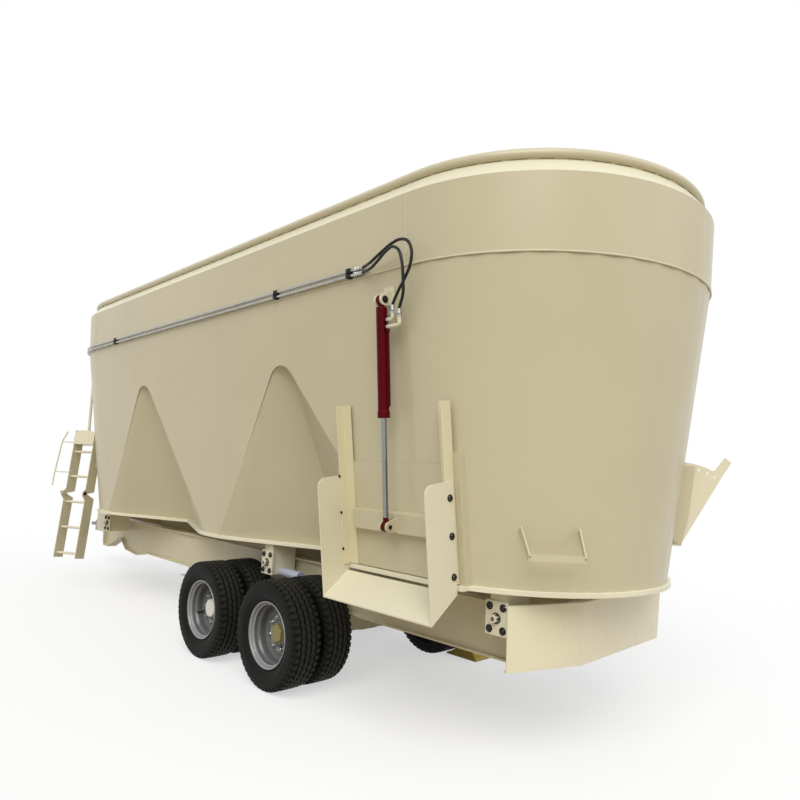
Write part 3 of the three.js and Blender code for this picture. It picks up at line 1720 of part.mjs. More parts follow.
// Step on the rear end: two arms and a bar, bent from one flat bar
function makeRearStep() {
  const low = floor_height + step_low;
  const high = low + step_arm_height;
  const [from, to] = step_angles.map((angle) => THREE.MathUtils.degToRad(angle));
  const wall_high = panelRadius(step_low + step_arm_height + step_bar) + step_stand_off;
  const pieces = [];
  const middle = (from + to) / 2;
  const out = vector(Math.cos(middle), Math.sin(middle), 0);
  const across = vector(-out.y, out.x, 0);
  const ends = [];
  for (const [angle, taper] of [
    [from, step_taper],
    [to, 0],
  ]) {
    const head = vector(Math.cos(angle) * wall_high, Math.sin(angle) * wall_high, high);
    const tip = head.clone().addScaledVector(out, step_reach).addScaledVector(across, taper);
    tip.z = low + step_bar / 2;
    ends.push(tip);
    pieces.push(flatBar(head, tip));
  }
  pieces.push(flatBar(ends[0], ends[1]));
  return join(...pieces);
}

// A flat bar on edge between two points, a little longer at both ends so that corners close
function flatBar(from, to) {
  const along = to.clone().sub(from);
  const length = along.length() + step_bar_sheet;
  const middle = from.clone().add(to).multiplyScalar(0.5);
  const heading = Math.atan2(along.y, along.x);
  const rise = Math.atan2(along.z, Math.hypot(along.x, along.y));
  const matrix = new THREE.Matrix4()
    .makeTranslation(middle.x, middle.y, middle.z)
    .multiply(new THREE.Matrix4().makeRotationZ(heading))
    .multiply(new THREE.Matrix4().makeRotationY(-rise));
  return solid(place(new THREE.BoxGeometry(length, step_bar_sheet, step_bar), matrix));
}

// Counter knife: a plate on a pivot that swings through a slot in the wall, with holes for its pin
function inKnife(geometry) {
  return solid(place(geometry, knife_frame));
}

function polar(radius, degrees) {
  const angle = THREE.MathUtils.degToRad(degrees);
  return [radius * Math.sin(angle), radius * Math.cos(angle)];
}

function makeCounterKnife() {
  const outline = [
    ...arc(0, 0, knife_pivot_radius, 180, 270, 4),
    knife_heel_shares.map((share) => knife_pivot_radius * share),
    ...knife_handle_shares.map((pair) => pair.map((share) => knife_top_radius * share)).reverse(),
    ...knife_top_angles.slice().reverse().map((angle) => polar(knife_top_radius, angle)),
  ];
  const holes = knife_hole_angles.map((angle, i) => [
    ...polar(knife_hole_radius, angle),
    i === 0 ? knife_ring_hole : knife_detent_hole,
  ]);
  holes.push([0, 0, pin_radius + pin_clearance]);
  return inKnife(plate(outline, "xz", -counter_knife_sheet / 2, counter_knife_sheet, holes));
}

// Two plates that stand on the wall at either side of the counter knife, with the pin it turns on
function makeKnifeGuide() {
  const inner = counter_knife_sheet / 2 + knife_side_gap;
  const slope = Math.tan(panel_slope) * facet_share;
  const foot = seat_gap - knife_pivot_stand;
  const low = -guide_plate_foot;
  const pieces = [];
  for (const side of [-1, 1]) {
    const outline = [
      [foot + low * slope, low],
      [guide_plate_foot, low],
      [guide_plate_width, guide_plate_top / 3],
      [foot + guide_plate_width + guide_plate_top * slope, guide_plate_top],
      [foot + guide_plate_top * slope, guide_plate_top],
    ];
    const start = side < 0 ? -inner - guide_plate_sheet : inner;
    pieces.push(inKnife(plate(outline, "xz", start, guide_plate_sheet)));
  }
  const reach = inner + guide_plate_sheet + bolt_head_height;
  pieces.push(inKnife(bar(vector(0, -reach, 0), vector(0, reach, 0), pin_radius)));
  return join(...pieces);
}

// Wheel chock behind the rear wheel on the far side, with ribs across its slope
function makeChock() {
  const axle_x = axle_places[1];
  const clear_radius = tyre_radius / Math.cos(Math.PI / wheel_segments) + chock_gap;
  const angleAt = (z, radius) => Math.acos((tyre_radius - z) / radius);
  const sweep = angleAt(chock_height, clear_radius) - angleAt(chock_toe, clear_radius);
  const hollow_radius = clear_radius / Math.cos(sweep / chock_curve_steps / 2);
  const first = angleAt(chock_toe, hollow_radius);
  const last = angleAt(chock_height, hollow_radius);
  const curve = [];
  for (let i = 0; i <= chock_curve_steps; i++) {
    const angle = first + ((last - first) * i) / chock_curve_steps;
    const z = tyre_radius - hollow_radius * Math.cos(angle);
    curve.push([axle_x + hollow_radius * Math.sin(angle), z]);
  }
  const foot = curve[0][0];
  const crest = curve[chock_curve_steps][0];
  const back = foot + chock_length;
  const outline = [
    ...curve,
    [crest + chock_crest, chock_height],
    [back, chock_toe],
    [back, 0],
    [foot, 0],
  ];
  const core = plateSolid(outline, "xz", twin_middle - chock_width / 2, chock_width);
  const grooves = [];
  const run = back - crest - chock_crest;
  for (let i = 1; i < chock_ribs; i++) {
    const x = crest + chock_crest + (run * i) / chock_ribs;
    const floor = chock_toe + ((chock_height - chock_toe) * (chock_ribs - i)) / chock_ribs - chock_rib;
    grooves.push(boxSolid(x, x + chock_rib, 0, 2 * twin_middle, floor, chock_height + overrun));
  }
  return cut(core, ...grooves);
}

// The scene graph
const machine = new THREE.Group();

function add(name, made, material, parent = machine) {
  const geometry = made.isBufferGeometry ? made : geometryOf(made);
  const mesh = new THREE.Mesh(geometry, material);
  mesh.name = name;
  parent.add(mesh);
  return mesh;
}

add("tub_wall", makeTubWall(), cream);
add("upper_band", makeUpperBand(), cream);
add("spill_ring", makeSpillRing(), cream);
add("rim_pipe", makeRimPipe(), cream);
add("floor_plate", makeFloorPlate(), cream);
add("rear_step", makeRearStep(), cream);

for (const [where, x] of Object.entries(auger_places)) {
  add(`auger_${where}`, makeAuger(x), worn_steel);
  add(`gearbox_${where}`, makeGearbox(x), cream);
}

const half_bevel = bevel_box / 2 + seat_gap;
add("shaft_rear", makeShaft(-auger_spacing + half_bevel, -half_bevel), guard_yellow);
add("shaft_middle", makeShaft(front_x + half_bevel, -auger_spacing - half_bevel), guard_yellow);
const input_end = -beam_front_end - input_shaft_reach;
add("shaft_input", makeShaft(input_end, front_x - half_bevel), guard_yellow);

const beam = makeBeam();
add("beam_near", beam, cream);
add("beam_far", mirrored(beam), cream);
const crossmember_places = {
  rear: beam_rear_end - crossmember_rear_inset,
  middle: -auger_spacing / 2,
  front: crossmember_front_inset - beam_front_end,
};
for (const [where, x] of Object.entries(crossmember_places)) {
  add(`crossmember_${where}`, makeCrossmember(x), cream);
}

["rear", "middle", "front"].forEach((where, i) => {
  const cell = makeLoadCell(cell_places[i]);
  add(`load_cell_near_${where}`, cell, pale_cream);
  add(`load_cell_far_${where}`, mirrored(cell), pale_cream);
});

add("drawbar", makeDrawbar(), cream);
add("hitch_eye", makeHitchEye(), bare_steel);
add("jack_sleeve", makeJackSleeve(), cream);
add("jack_leg", makeJackLeg(), bare_steel);
add("rear_guard", makeRearGuard(), cream);

const tyre_places = { outer: twin_middle + twin_spacing / 2, inner: twin_middle - twin_spacing / 2 };
["front", "rear"].forEach((where, i) => {
  const x = axle_places[i];
  add(`axle_${where}`, makeAxle(x), cream);
  for (const [side, sign] of [
    ["near", -1],
    ["far", 1],
  ]) {
    const holder = new THREE.Group();
    holder.position.set(x, 0, tyre_radius);
    if (sign < 0) holder.rotation.z = Math.PI;
    machine.add(holder);
    add(`wheel_${side}_${where}`, makeWheelHub(), wheel_grey, holder);
    for (const [row, centre] of Object.entries(tyre_places)) {
      add(`tyre_${side}_${where}_${row}`, makeTyre(centre), black_rubber, holder);
    }
  }
});

add("door_panel", makeDoor(), cream);
add("door_guide_front", makeGuide(-1), cream);
add("door_guide_rear", makeGuide(1), cream);
add("chute", makeChute(), pale_cream);
add("cylinder_rod", makeRod(), bare_steel);
add("cylinder_barrel", makeBarrel(), dark_red);
add("cylinder_bracket", makeCylinderBracket(), cream);
add("door_pipes", makePipes(), bare_steel);

const hose_start = pipe_end_x + fitting_length + seat_gap;
const port_top = cylinder_length - barrel_top_drop - port_block_drop;
const pipe_y = -(seam_radius + pipe_stand_off);

// A hose's points: straight out of the pipe's fitting, over the route on the panel, straight into the port
function hosePoints(route, pipe_up, port) {
  const z = floor_height + pipe_height + pipe_up;
  const start = vector(hose_start, pipe_y, z);
  const end_up = port_top + port_heights[port] + seat_gap;
  const end = vector(port_reach[port], 0, end_up).applyMatrix4(cylinder_frame);
  const above = vector(port_reach[port], 0, end_up + hose_straight).applyMatrix4(cylinder_frame);
  const halfway = start.clone().setX(hose_start + hose_straight / 2);
  return [
    start,
    halfway,
    start.clone().setX(hose_start + hose_straight),
    ...route.map(([x, out, up]) => panelPoint(x, out, up)),
    above,
    above.clone().lerp(end, 0.5),
    end,
  ];
}

const hose_upper_points = hosePoints(hose_upper_route, pipe_spacing / 2, 0);
const hose_lower_points = hosePoints(hose_lower_route, -pipe_spacing / 2, 1);
add("hose_upper", makeHose(hose_upper_points), black_hose);
add("hose_lower", makeHose(hose_lower_points), black_hose);

add("ladder_upper", makeLadderUpper(), cream);
add("ladder_lower", makeLadderLower(), cream);
add("counter_knife", makeCounterKnife(), cream);
add("knife_guide", makeKnifeGuide(), cream);
add("wheel_chock", makeChock(), guard_yellow);

// The machine's origin goes to the bottom centre of its box
const span = new THREE.Box3().setFromObject(machine);
machine.position.set(-(span.min.x + span.max.x) / 2, -(span.min.y + span.max.y) / 2, -span.min.z);

export default machine;
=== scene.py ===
# Looks of a trailed feed mixer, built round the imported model. Metres, +Z up, +X to the rear, -Y to the door.
import json
import math

import bmesh
import bpy
from mathutils import Matrix, Vector

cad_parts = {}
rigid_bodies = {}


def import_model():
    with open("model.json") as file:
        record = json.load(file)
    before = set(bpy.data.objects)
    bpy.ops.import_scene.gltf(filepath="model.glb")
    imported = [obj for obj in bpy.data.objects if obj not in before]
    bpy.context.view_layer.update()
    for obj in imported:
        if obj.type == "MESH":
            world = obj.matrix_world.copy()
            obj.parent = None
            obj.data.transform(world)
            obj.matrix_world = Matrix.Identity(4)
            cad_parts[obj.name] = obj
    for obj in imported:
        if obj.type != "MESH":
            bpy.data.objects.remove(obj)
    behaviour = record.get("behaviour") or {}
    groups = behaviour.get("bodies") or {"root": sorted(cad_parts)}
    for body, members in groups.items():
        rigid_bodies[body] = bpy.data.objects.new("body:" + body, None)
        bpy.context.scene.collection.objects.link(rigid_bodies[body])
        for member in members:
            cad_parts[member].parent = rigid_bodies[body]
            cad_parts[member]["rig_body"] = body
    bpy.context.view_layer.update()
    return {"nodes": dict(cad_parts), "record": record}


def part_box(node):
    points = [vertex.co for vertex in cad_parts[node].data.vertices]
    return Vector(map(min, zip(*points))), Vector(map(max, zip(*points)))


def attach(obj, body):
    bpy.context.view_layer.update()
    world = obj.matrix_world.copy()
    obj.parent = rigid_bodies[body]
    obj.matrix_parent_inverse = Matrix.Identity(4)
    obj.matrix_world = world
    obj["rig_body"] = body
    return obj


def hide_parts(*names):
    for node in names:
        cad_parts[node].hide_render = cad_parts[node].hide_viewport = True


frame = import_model()
nodes = frame["nodes"]
slots = {s["node"]: s["material_slot"] for s in frame["record"]["subparts"]}
scene = bpy.context.scene
scene.view_settings.view_transform = "Standard"

# The modelling origin: on the ground under the rear auger's axis
gear_low, gear_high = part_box("gearbox_rear")
ORIGIN = Vector(((gear_low.x + gear_high.x) / 2, (gear_low.y + gear_high.y) / 2, 0))

# Sizes that are shared with the solids: the tub's, from the floor plate up to the ring under the rim pipe
SPACING = 2.48
FLOOR = 0.983
FLOOR_RADIUS = 0.94
SEAM_RADIUS = 1.18
BAND_RADIUS = 1.2
RING_RADIUS = 1.112
WALL = 1.79
BAND = 0.424
RING = 0.1
SHEET = 0.01
GAP = 0.0003
FRONT = -2 * SPACING
SEAM = FLOOR + WALL
BAND_TOP = SEAM + BAND
SLOPE = math.atan2(SEAM_RADIUS - FLOOR_RADIUS, WALL)


# Camera
def solved_camera():
    """The camera of the photograph, solved from points on the machine whose sizes are known."""
    yaw, pitch, roll = 0.7658, 0.0889, 0.0438
    place = ORIGIN + Vector((2.635, -3.709, 1.605))
    forward = Vector(
        (-math.cos(yaw) * math.cos(pitch), math.sin(yaw) * math.cos(pitch), math.sin(pitch))
    )
    right = forward.cross(Vector((0, 0, 1))).normalized()
    up = right.cross(forward)
    turned_right = right * math.cos(roll) + up * math.sin(roll)
    turned_up = -right * math.sin(roll) + up * math.cos(roll)
    data = bpy.data.cameras.new("camera")
    data.lens = 29.18
    data.sensor_width = 36
    data.shift_x = 0.001
    data.shift_y = 0.0126
    data.clip_end = 200
    camera = bpy.data.objects.new("camera", data)
    rotation = Matrix((turned_right, turned_up, -forward)).transposed()
    camera.matrix_world = Matrix.Translation(place) @ rotation.to_4x4()
    scene.collection.objects.link(camera)
    scene.camera = camera


solved_camera()


# Mesh tools
def smooth_mesh(name, bm, angle):
    """A mesh from a bmesh, smooth across edges up to an angle between their faces."""
    limit = math.radians(angle)
    for edge in bm.edges:
        edge.smooth = len(edge.link_faces) == 2 and edge.calc_face_angle(math.pi) < limit
    for face in bm.faces:
        face.smooth = True
    mesh = bpy.data.meshes.new(name)
    bm.to_mesh(mesh)
    bm.free()
    return mesh


def finished(name, bm, material, angle, body, replaces=(), slot=None, offset=True, bevel=0):
    """A piece from a bmesh; with offset it is in the modelling frame, and its faces are turned outward here."""
    if offset:
        faced_out(bm)
        bmesh.ops.translate(bm, verts=bm.verts, vec=ORIGIN)
    mesh = smooth_mesh(name, bm, angle)
    if "custom_normal" in mesh.attributes:
        mesh.attributes.remove(mesh.attributes["custom_normal"])
    mesh.materials.append(material)
    for polygon in mesh.polygons:
        polygon.material_index = 0
    piece = bpy.data.objects.new(name, mesh)
    scene.collection.objects.link(piece)
    if bevel:
        edge_round = piece.modifiers.new("edges", "BEVEL")
        edge_round.width = bevel
        edge_round.segments = 2
        edge_round.limit_method = "ANGLE"
        edge_round.angle_limit = math.radians(32)
    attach(piece, body)
    if replaces:
        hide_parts(*replaces)
    return piece


def skin_of(node):
    """A node's own faces, joined up and with flat faces merged."""
    bm = bmesh.new()
    bm.from_mesh(nodes[node].data)
    bmesh.ops.remove_doubles(bm, verts=bm.verts, dist=2e-5)
    bmesh.ops.dissolve_limit(
        bm, angle_limit=math.radians(0.4), verts=bm.verts, edges=bm.edges, delimit=set()
    )
    return bm


def dress(node, material, angle, bevel):
    """A node with rounded edges and a material, in place of its plain solid."""
    body = nodes[node]["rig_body"]
    return finished(node + "_skin", skin_of(node), material, angle, body, (node,), slots[node], False, bevel)


def add_rings(bm, rings, closed=False):
    """Faces from ring to ring of points; the first and last are joined when closed, else capped."""
    made = [[bm.verts.new(p) for p in ring] for ring in rings]
    count = len(made[0])
    last = len(made) if closed else len(made) - 1
    for r in range(last):
        one, two = made[r], made[(r + 1) % len(made)]
        for i in range(count):
            j = (i + 1) % count
            bm.faces.new((one[i], one[j], two[j], two[i]))
    if not closed:
        bm.faces.new(list(reversed(made[0])))
        bm.faces.new(made[-1])


def faced_out(bm):
    """Turns every face outward."""
    bmesh.ops.recalc_face_normals(bm, faces=bm.faces)
    return bm


def turned(bm, profile, segments, matrix=Matrix.Identity(4), phase=0.0):
    """A profile of (radius, along) pairs turned round the matrix's Z axis; radius 0 closes it."""
    rows = []
    for radius, along in profile:
        if radius < 1e-6:
            rows.append([bm.verts.new(matrix @ Vector((0, 0, along)))])
            continue
        ring = []
        for i in range(segments):
            a = 2 * math.pi * i / segments + phase
            ring.append(bm.verts.new(matrix @ Vector((radius * math.cos(a), radius * math.sin(a), along))))
        rows.append(ring)
    for one, two in zip(rows, rows[1:]):
        for i in range(segments):
            j = (i + 1) % segments
            corners = [one[i % len(one)], one[j % len(one)], two[j % len(two)], two[i % len(two)]]
            unique = list(dict.fromkeys(corners))
            if len(unique) > 2:
                bm.faces.new(unique)


def between(a, b):
    """A matrix whose Z axis runs from a to b, with its origin at a."""
    along = (Vector(b) - Vector(a)).normalized()
    turn = along.to_track_quat("Z", "Y").to_matrix().to_4x4()
    return Matrix.Translation(a) @ turn


def swept(bm, points, radius, segments=14, closed=False, radii=None):
    """A round tube along points, of one radius or of a radius at each point."""
    line = [Vector(p) for p in points]
    count = len(line)
    normal = None
    rings = []
    for i, point in enumerate(line):
        before = line[(i - 1) % count] if closed or i else point
        after = line[(i + 1) % count] if closed or i < count - 1 else point
        along = (after - before).normalized()
        if normal is None:
            normal = Vector((0, 0, 1)) if abs(along.z) < 0.9 else Vector((1, 0, 0))
        normal = (normal - along * normal.dot(along)).normalized()
        side = along.cross(normal)
        size = radii[i] if radii else radius
        ring = []
        for k in range(segments):
            a = 2 * math.pi * k / segments
            ring.append(point + (normal * math.cos(a) + side * math.sin(a)) * size)
        rings.append(ring)
    add_rings(bm, rings, closed)


def bent(corners, radius, steps=6):
    """Points of a line with round corners of one radius of bend."""
    points = [Vector(corners[0])]
    for a, b, c in zip(corners, corners[1:], corners[2:]):
        a, b, c = Vector(a), Vector(b), Vector(c)
        start = b + (a - b).normalized() * radius
        end = b + (c - b).normalized() * radius
        for i in range(steps + 1):
            t = i / steps
            points.append(start * (1 - t) ** 2 + b * 2 * t * (1 - t) + end * t * t)
    points.append(Vector(corners[-1]))
    return points


def block(bm, low, high):
    """A box between two corners."""
    low, high = Vector(low), Vector(high)
    for v in bmesh.ops.create_cube(bm, size=1)["verts"]:
        v.co = Vector([low[k] + (v.co[k] + 0.5) * (high[k] - low[k]) for k in range(3)])


def drawn(bm, outline, low, high):
    """An outline of (y, z) pairs drawn out along X."""
    add_rings(bm, [[Vector((x, *pair)) for pair in outline] for x in (low, high)])


def bolt(bm, place, out, radius, height, washer=0.0022):
    """A hexagonal head on a washer, standing out from a face."""
    matrix = between(place, Vector(place) + Vector(out))
    wide = radius * 1.32
    turned(bm, [(0, 0), (wide, 0), (wide, washer), (0, washer)], 24, matrix)
    head = [(0, 0), (radius, 0), (radius, height * 0.85), (radius * 0.86, height), (0, height)]
    turned(bm, head, 6, matrix)


def stadium(radius, z, steps=64):
    """The tub's outline at a height: two half circles and the straight sides between them."""
    straight = 24
    ring = []
    for middle, sign in ((0, 1), (FRONT, -1)):
        for i in range(steps + 1):
            a = math.pi * (i / steps - sign / 2)
            ring.append(Vector((middle + radius * math.cos(a), radius * math.sin(a), z)))
        for i in range(1, straight):
            share = i / straight if sign > 0 else 1 - i / straight
            ring.append(Vector((FRONT * share, sign * radius, z)))
    return ring


# Panel on the near side: x along the tub, y into it, z up along its face
PANEL = Matrix.Translation((0, -FLOOR_RADIUS, FLOOR)) @ Matrix.Rotation(SLOPE, 4, "X")
PANEL_INVERSE = PANEL.inverted()


def panel_point(x, out, up):
    """A point from a panel's own measures, with out counted away from the tub."""
    return PANEL @ Vector((x, -out, up))


def on_panel(place):
    """Whether a point of the row frame lies in the flat side of the tub, near or far."""
    place = place - ORIGIN
    place.y = -abs(place.y)
    return abs((PANEL_INVERSE @ place).y) < 0.0015


# Materials
def shader(name):
    material = bpy.data.materials.new(name)
    material.use_nodes = True
    tree = material.node_tree
    return material, tree, tree.nodes["Principled BSDF"]


def computed(tree, kind, operation, *values):
    """A node for maths on outputs and constants."""
    made = tree.nodes.new(kind)
    made.operation = operation
    for socket, value in zip(made.inputs, values):
        if isinstance(value, (tuple, float)):
            socket.default_value = value
        else:
            tree.links.new(value, socket)
    return made


def object_place(tree):
    return tree.nodes.new("ShaderNodeTexCoord").outputs["Object"]


def object_coordinate(tree, axis):
    parts = tree.nodes.new("ShaderNodeSeparateXYZ")
    tree.links.new(object_place(tree), parts.inputs[0])
    return parts.outputs[axis]


def noise_at(tree, scale, stretch=(1, 1, 1), detail=3.0, roughness=0.55):
    """Noise in object coordinates."""
    mapping = tree.nodes.new("ShaderNodeMapping")
    mapping.inputs["Scale"].default_value = stretch
    tree.links.new(object_place(tree), mapping.inputs["Vector"])
    noise = tree.nodes.new("ShaderNodeTexNoise")
    noise.inputs["Scale"].default_value = scale
    noise.inputs["Detail"].default_value = detail
    noise.inputs["Roughness"].default_value = roughness
    tree.links.new(mapping.outputs["Vector"], noise.inputs["Vector"])
    return noise.outputs["Fac"]


def spread(tree, value, low, high, to_low=0.0, to_high=1.0):
    """A value mapped from one range to another, and held inside it."""
    made = tree.nodes.new("ShaderNodeMapRange")
    made.inputs["From Min"].default_value = low
    made.inputs["From Max"].default_value = high
    made.inputs["To Min"].default_value = to_low
    made.inputs["To Max"].default_value = to_high
    tree.links.new(value, made.inputs["Value"])
    return made.outputs["Result"]


def blended(tree, factor, one, two):
    """A mix of two colours, each a tuple or an output."""
    made = tree.nodes.new("ShaderNodeMix")
    made.data_type = "RGBA"
    for value, socket in ((one, made.inputs[6]), (two, made.inputs[7])):
        if isinstance(value, tuple):
            socket.default_value = (*value, 1)
        else:
            tree.links.new(value, socket)
    tree.links.new(factor, made.inputs[0])
    return made.outputs[2]


def bumped(tree, bsdf, layers):
    """Bumps one on another, each (height output, strength, distance)."""
    normal = None
    for height, strength, distance in layers:
        bump = tree.nodes.new("ShaderNodeBump")
        bump.inputs["Strength"].default_value = strength
        bump.inputs["Distance"].default_value = distance
        tree.links.new(height, bump.inputs["Height"])
        if normal:
            tree.links.new(normal, bump.inputs["Normal"])
        normal = bump.outputs["Normal"]
    tree.links.new(normal, bsdf.inputs["Normal"])


def covered(material, mask, color):
    """Paints a colour over a material's own where mask(tree) says so."""
    tree = material.node_tree
    base = tree.nodes["Principled BSDF"].inputs["Base Color"]
    tree.links.new(blended(tree, mask(tree), base.links[0].from_socket, color), base)


def shade(color, factor):
    return tuple(min(1.0, c * factor) for c in color)


def enamel(name, color, roughness=0.34, wave=0.12, dust=0.05, coat=0.2, vary=0.035, gloss=0.4):
    """Sprayed enamel on steel plate: waves of the sheet, orange peel, faint streaks and dust low down."""
    material, tree, bsdf = shader(name)
    blotch = noise_at(tree, 1.1, detail=4)
    streak = noise_at(tree, 9, (1, 1, 0.12), detail=5)
    base = blended(tree, spread(tree, blotch, 0.3, 0.7), shade(color, 1 - vary), shade(color, 1 + vary / 2))
    base = blended(tree, spread(tree, streak, 0.5, 0.85, 0, 0.3), base, shade(color, 1 - 1.2 * vary))
    low = spread(tree, object_coordinate(tree, "Z"), 1.05, 0.2)
    speck = spread(tree, noise_at(tree, 14, detail=6, roughness=0.7), 0.4, 0.75)
    dusty = computed(tree, "ShaderNodeMath", "MULTIPLY", low, speck)
    scaled = spread(tree, dusty.outputs[0], 0, 1, 0, dust)
    base = blended(tree, scaled, base, (0.23, 0.19, 0.13))
    tree.links.new(base, bsdf.inputs["Base Color"])
    rough = spread(tree, streak, 0.3, 0.8, roughness - 0.05, roughness + 0.1)
    tree.links.new(rough, bsdf.inputs["Roughness"])
    bsdf.inputs["Coat Weight"].default_value = coat
    bsdf.inputs["Coat Roughness"].default_value = 0.18
    bsdf.inputs["Specular IOR Level"].default_value = gloss
    bumped(tree, bsdf, [
        (noise_at(tree, 1.7, (1, 1, 0.6), detail=1), wave, 0.02),
        (noise_at(tree, 260, detail=2), 0.12, 0.0004),
    ])
    return material


def metal(name, color, roughness=0.32, stretch=(1, 1, 1), vary=0.12, grime=0.3):
    """Bare metal with fine scratches and darker stains."""
    material, tree, bsdf = shader(name)
    scratch = noise_at(tree, 180, stretch, detail=4, roughness=0.7)
    stain = noise_at(tree, 12, detail=6, roughness=0.65)
    base = blended(tree, spread(tree, scratch, 0.3, 0.7), shade(color, 1 - vary), shade(color, 1 + vary))
    base = blended(tree, spread(tree, stain, 0.5, 0.8, 0, grime), base, shade(color, 0.35))
    tree.links.new(base, bsdf.inputs["Base Color"])
    bsdf.inputs["Metallic"].default_value = 1.0
    rough = spread(tree, stain, 0.3, 0.8, roughness - 0.08, roughness + 0.22)
    tree.links.new(rough, bsdf.inputs["Roughness"])
    bumped(tree, bsdf, [(scratch, 0.15, 0.0003)])
    return material


def rubber(name, color, roughness, dust, gloss):
    """Rubber with a fine grain and dust in patches."""
    material, tree, bsdf = shader(name)
    patch = noise_at(tree, 7, detail=6, roughness=0.7)
    fine = noise_at(tree, 420, detail=2)
    base = blended(tree, spread(tree, fine, 0.3, 0.7), shade(color, 0.75), shade(color, 1.35))
    base = blended(tree, spread(tree, patch, 0.42, 0.85, 0, dust), base, (0.11, 0.1, 0.085))
    tree.links.new(base, bsdf.inputs["Base Color"])
    rough = spread(tree, patch, 0.3, 0.8, roughness - 0.12, roughness + 0.12)
    tree.links.new(rough, bsdf.inputs["Roughness"])
    bsdf.inputs["Specular IOR Level"].default_value = gloss
    bumped(tree, bsdf, [(fine, 0.3, 0.0006)])
    return material


def hose_cover(name, color):
    """A hose's cover: finely grained and slightly glossy."""
    material, tree, bsdf = shader(name)
    fine = noise_at(tree, 600, detail=2)
    patch = noise_at(tree, 20, detail=4)
    base = blended(tree, spread(tree, patch, 0.3, 0.7), shade(color, 0.8), shade(color, 1.6))
    tree.links.new(base, bsdf.inputs["Base Color"])
    tree.links.new(spread(tree, patch, 0.3, 0.8, 0.3, 0.5), bsdf.inputs["Roughness"])
    bsdf.inputs["Specular IOR Level"].default_value = 0.25
    bumped(tree, bsdf, [(fine, 0.35, 0.0005)])
    return material


CREAM = (0.535, 0.487, 0.333)
PALE = (0.68, 0.64, 0.48)
cream = enamel("cream_enamel", CREAM)
pale_cream = enamel("pale_cream_enamel", PALE, wave=0.08)
guide_cream = enamel("guide_enamel", (0.68, 0.62, 0.42), wave=0.08)
# A paler copy of the cream enamel: painted light, standing in for the sky light on the tilted spill ring; also
# used on the floor plate and the rear guard's top lip
painted_light_cream = enamel("painted_sky_light_enamel", (0.7, 0.665, 0.5), wave=0.05)
weld_cream = enamel("weld_enamel", (0.6, 0.555, 0.4), 0.4, 0.4)
# A darker copy of the cream, painted shade for the shadow lines along the folds' edges
fold_shadow_paint = enamel("painted_fold_shadow_enamel", shade(CREAM, 0.62), 0.5, 0.05, 0.2, 0.0)
blue_silver = enamel("blue_silver", (0.4, 0.43, 0.52), 0.22, 0.02, 0.1, 0.5)
guard_cream = enamel("guard_enamel", (0.72, 0.67, 0.48), 0.24, 0.1, coat=0.5, vary=0.02)
chassis_cream = enamel("chassis_enamel", shade(CREAM, 1.04), 0.4, 0.1, 0.14)
red = enamel("red_enamel", (0.085, 0.0005, 0.003), 0.26, 0.02, 0.0, 0.0, 0.1, 0.07)
white = enamel("white_enamel", (0.7, 0.69, 0.64), 0.3, 0.02, 0.08)
silver = enamel("wheel_silver", (0.235, 0.24, 0.245), 0.3, 0.02, 0.1, 0.3)
olive = enamel("olive_cap", (0.2, 0.17, 0.045), 0.35, 0.02, 0.2)
yellow = enamel("yellow_plastic", (0.5, 0.35, 0.012), 0.4, 0.03, 0.15, 0.1)
chrome = metal("chromed_rod", (0.27, 0.275, 0.28), 0.16, (1, 1, 0.03), 0.06, 0.1)
zinc = metal("zinc_plated", (0.44, 0.44, 0.42), 0.3, grime=0.35)
worn = metal("worn_steel", (0.33, 0.32, 0.3), 0.38, (1, 1, 0.1), 0.2, 0.5)
stud_steel = metal("stud_steel", (0.13, 0.12, 0.105), 0.42, grime=0.5)
black_bolt = metal("black_bolt", (0.035, 0.035, 0.036), 0.5, grime=0.4)
tyre_rubber = rubber("tyre_rubber", (0.005, 0.005, 0.0046), 0.6, 0.05, 0.12)
hose_rubber = hose_cover("hose_rubber", (0.006, 0.008, 0.007))


def barrel_shade_mask(tree):
    """Painted shade in the wheels' barrels, between the rim's edge and the disc, by the distance from the
    machine's middle.
    """
    aside = computed(tree, "ShaderNodeMath", "SUBTRACT", object_coordinate(tree, "Y"), ORIGIN.y)
    across = computed(tree, "ShaderNodeMath", "ABSOLUTE", aside.outputs[0]).outputs[0]
    outer_edge = spread(tree, across, 1.036, 1.026)
    inner_edge = spread(tree, across, 0.93, 0.952)
    both = computed(tree, "ShaderNodeMath", "MULTIPLY", outer_edge, inner_edge)
    return spread(tree, both.outputs[0], 0, 1, 0, 0.75)


def crown_mask(tree):
    """A tyre's crown, by the distance from its axis."""
    in_wheel = computed(tree, "ShaderNodeVectorMath", "MULTIPLY", object_place(tree), (1, 0, 1))
    from_axis = computed(tree, "ShaderNodeVectorMath", "LENGTH", in_wheel.outputs[0])
    return spread(tree, from_axis.outputs["Value"], 0.377, 0.3828, 0, 0.75)


# Painted shade: the wheels' barrels are darkened between the rim's edge and the disc, where shade falls
covered(silver, barrel_shade_mask, (0.06, 0.063, 0.06))
covered(tyre_rubber, crown_mask, (0.025, 0.0245, 0.021))

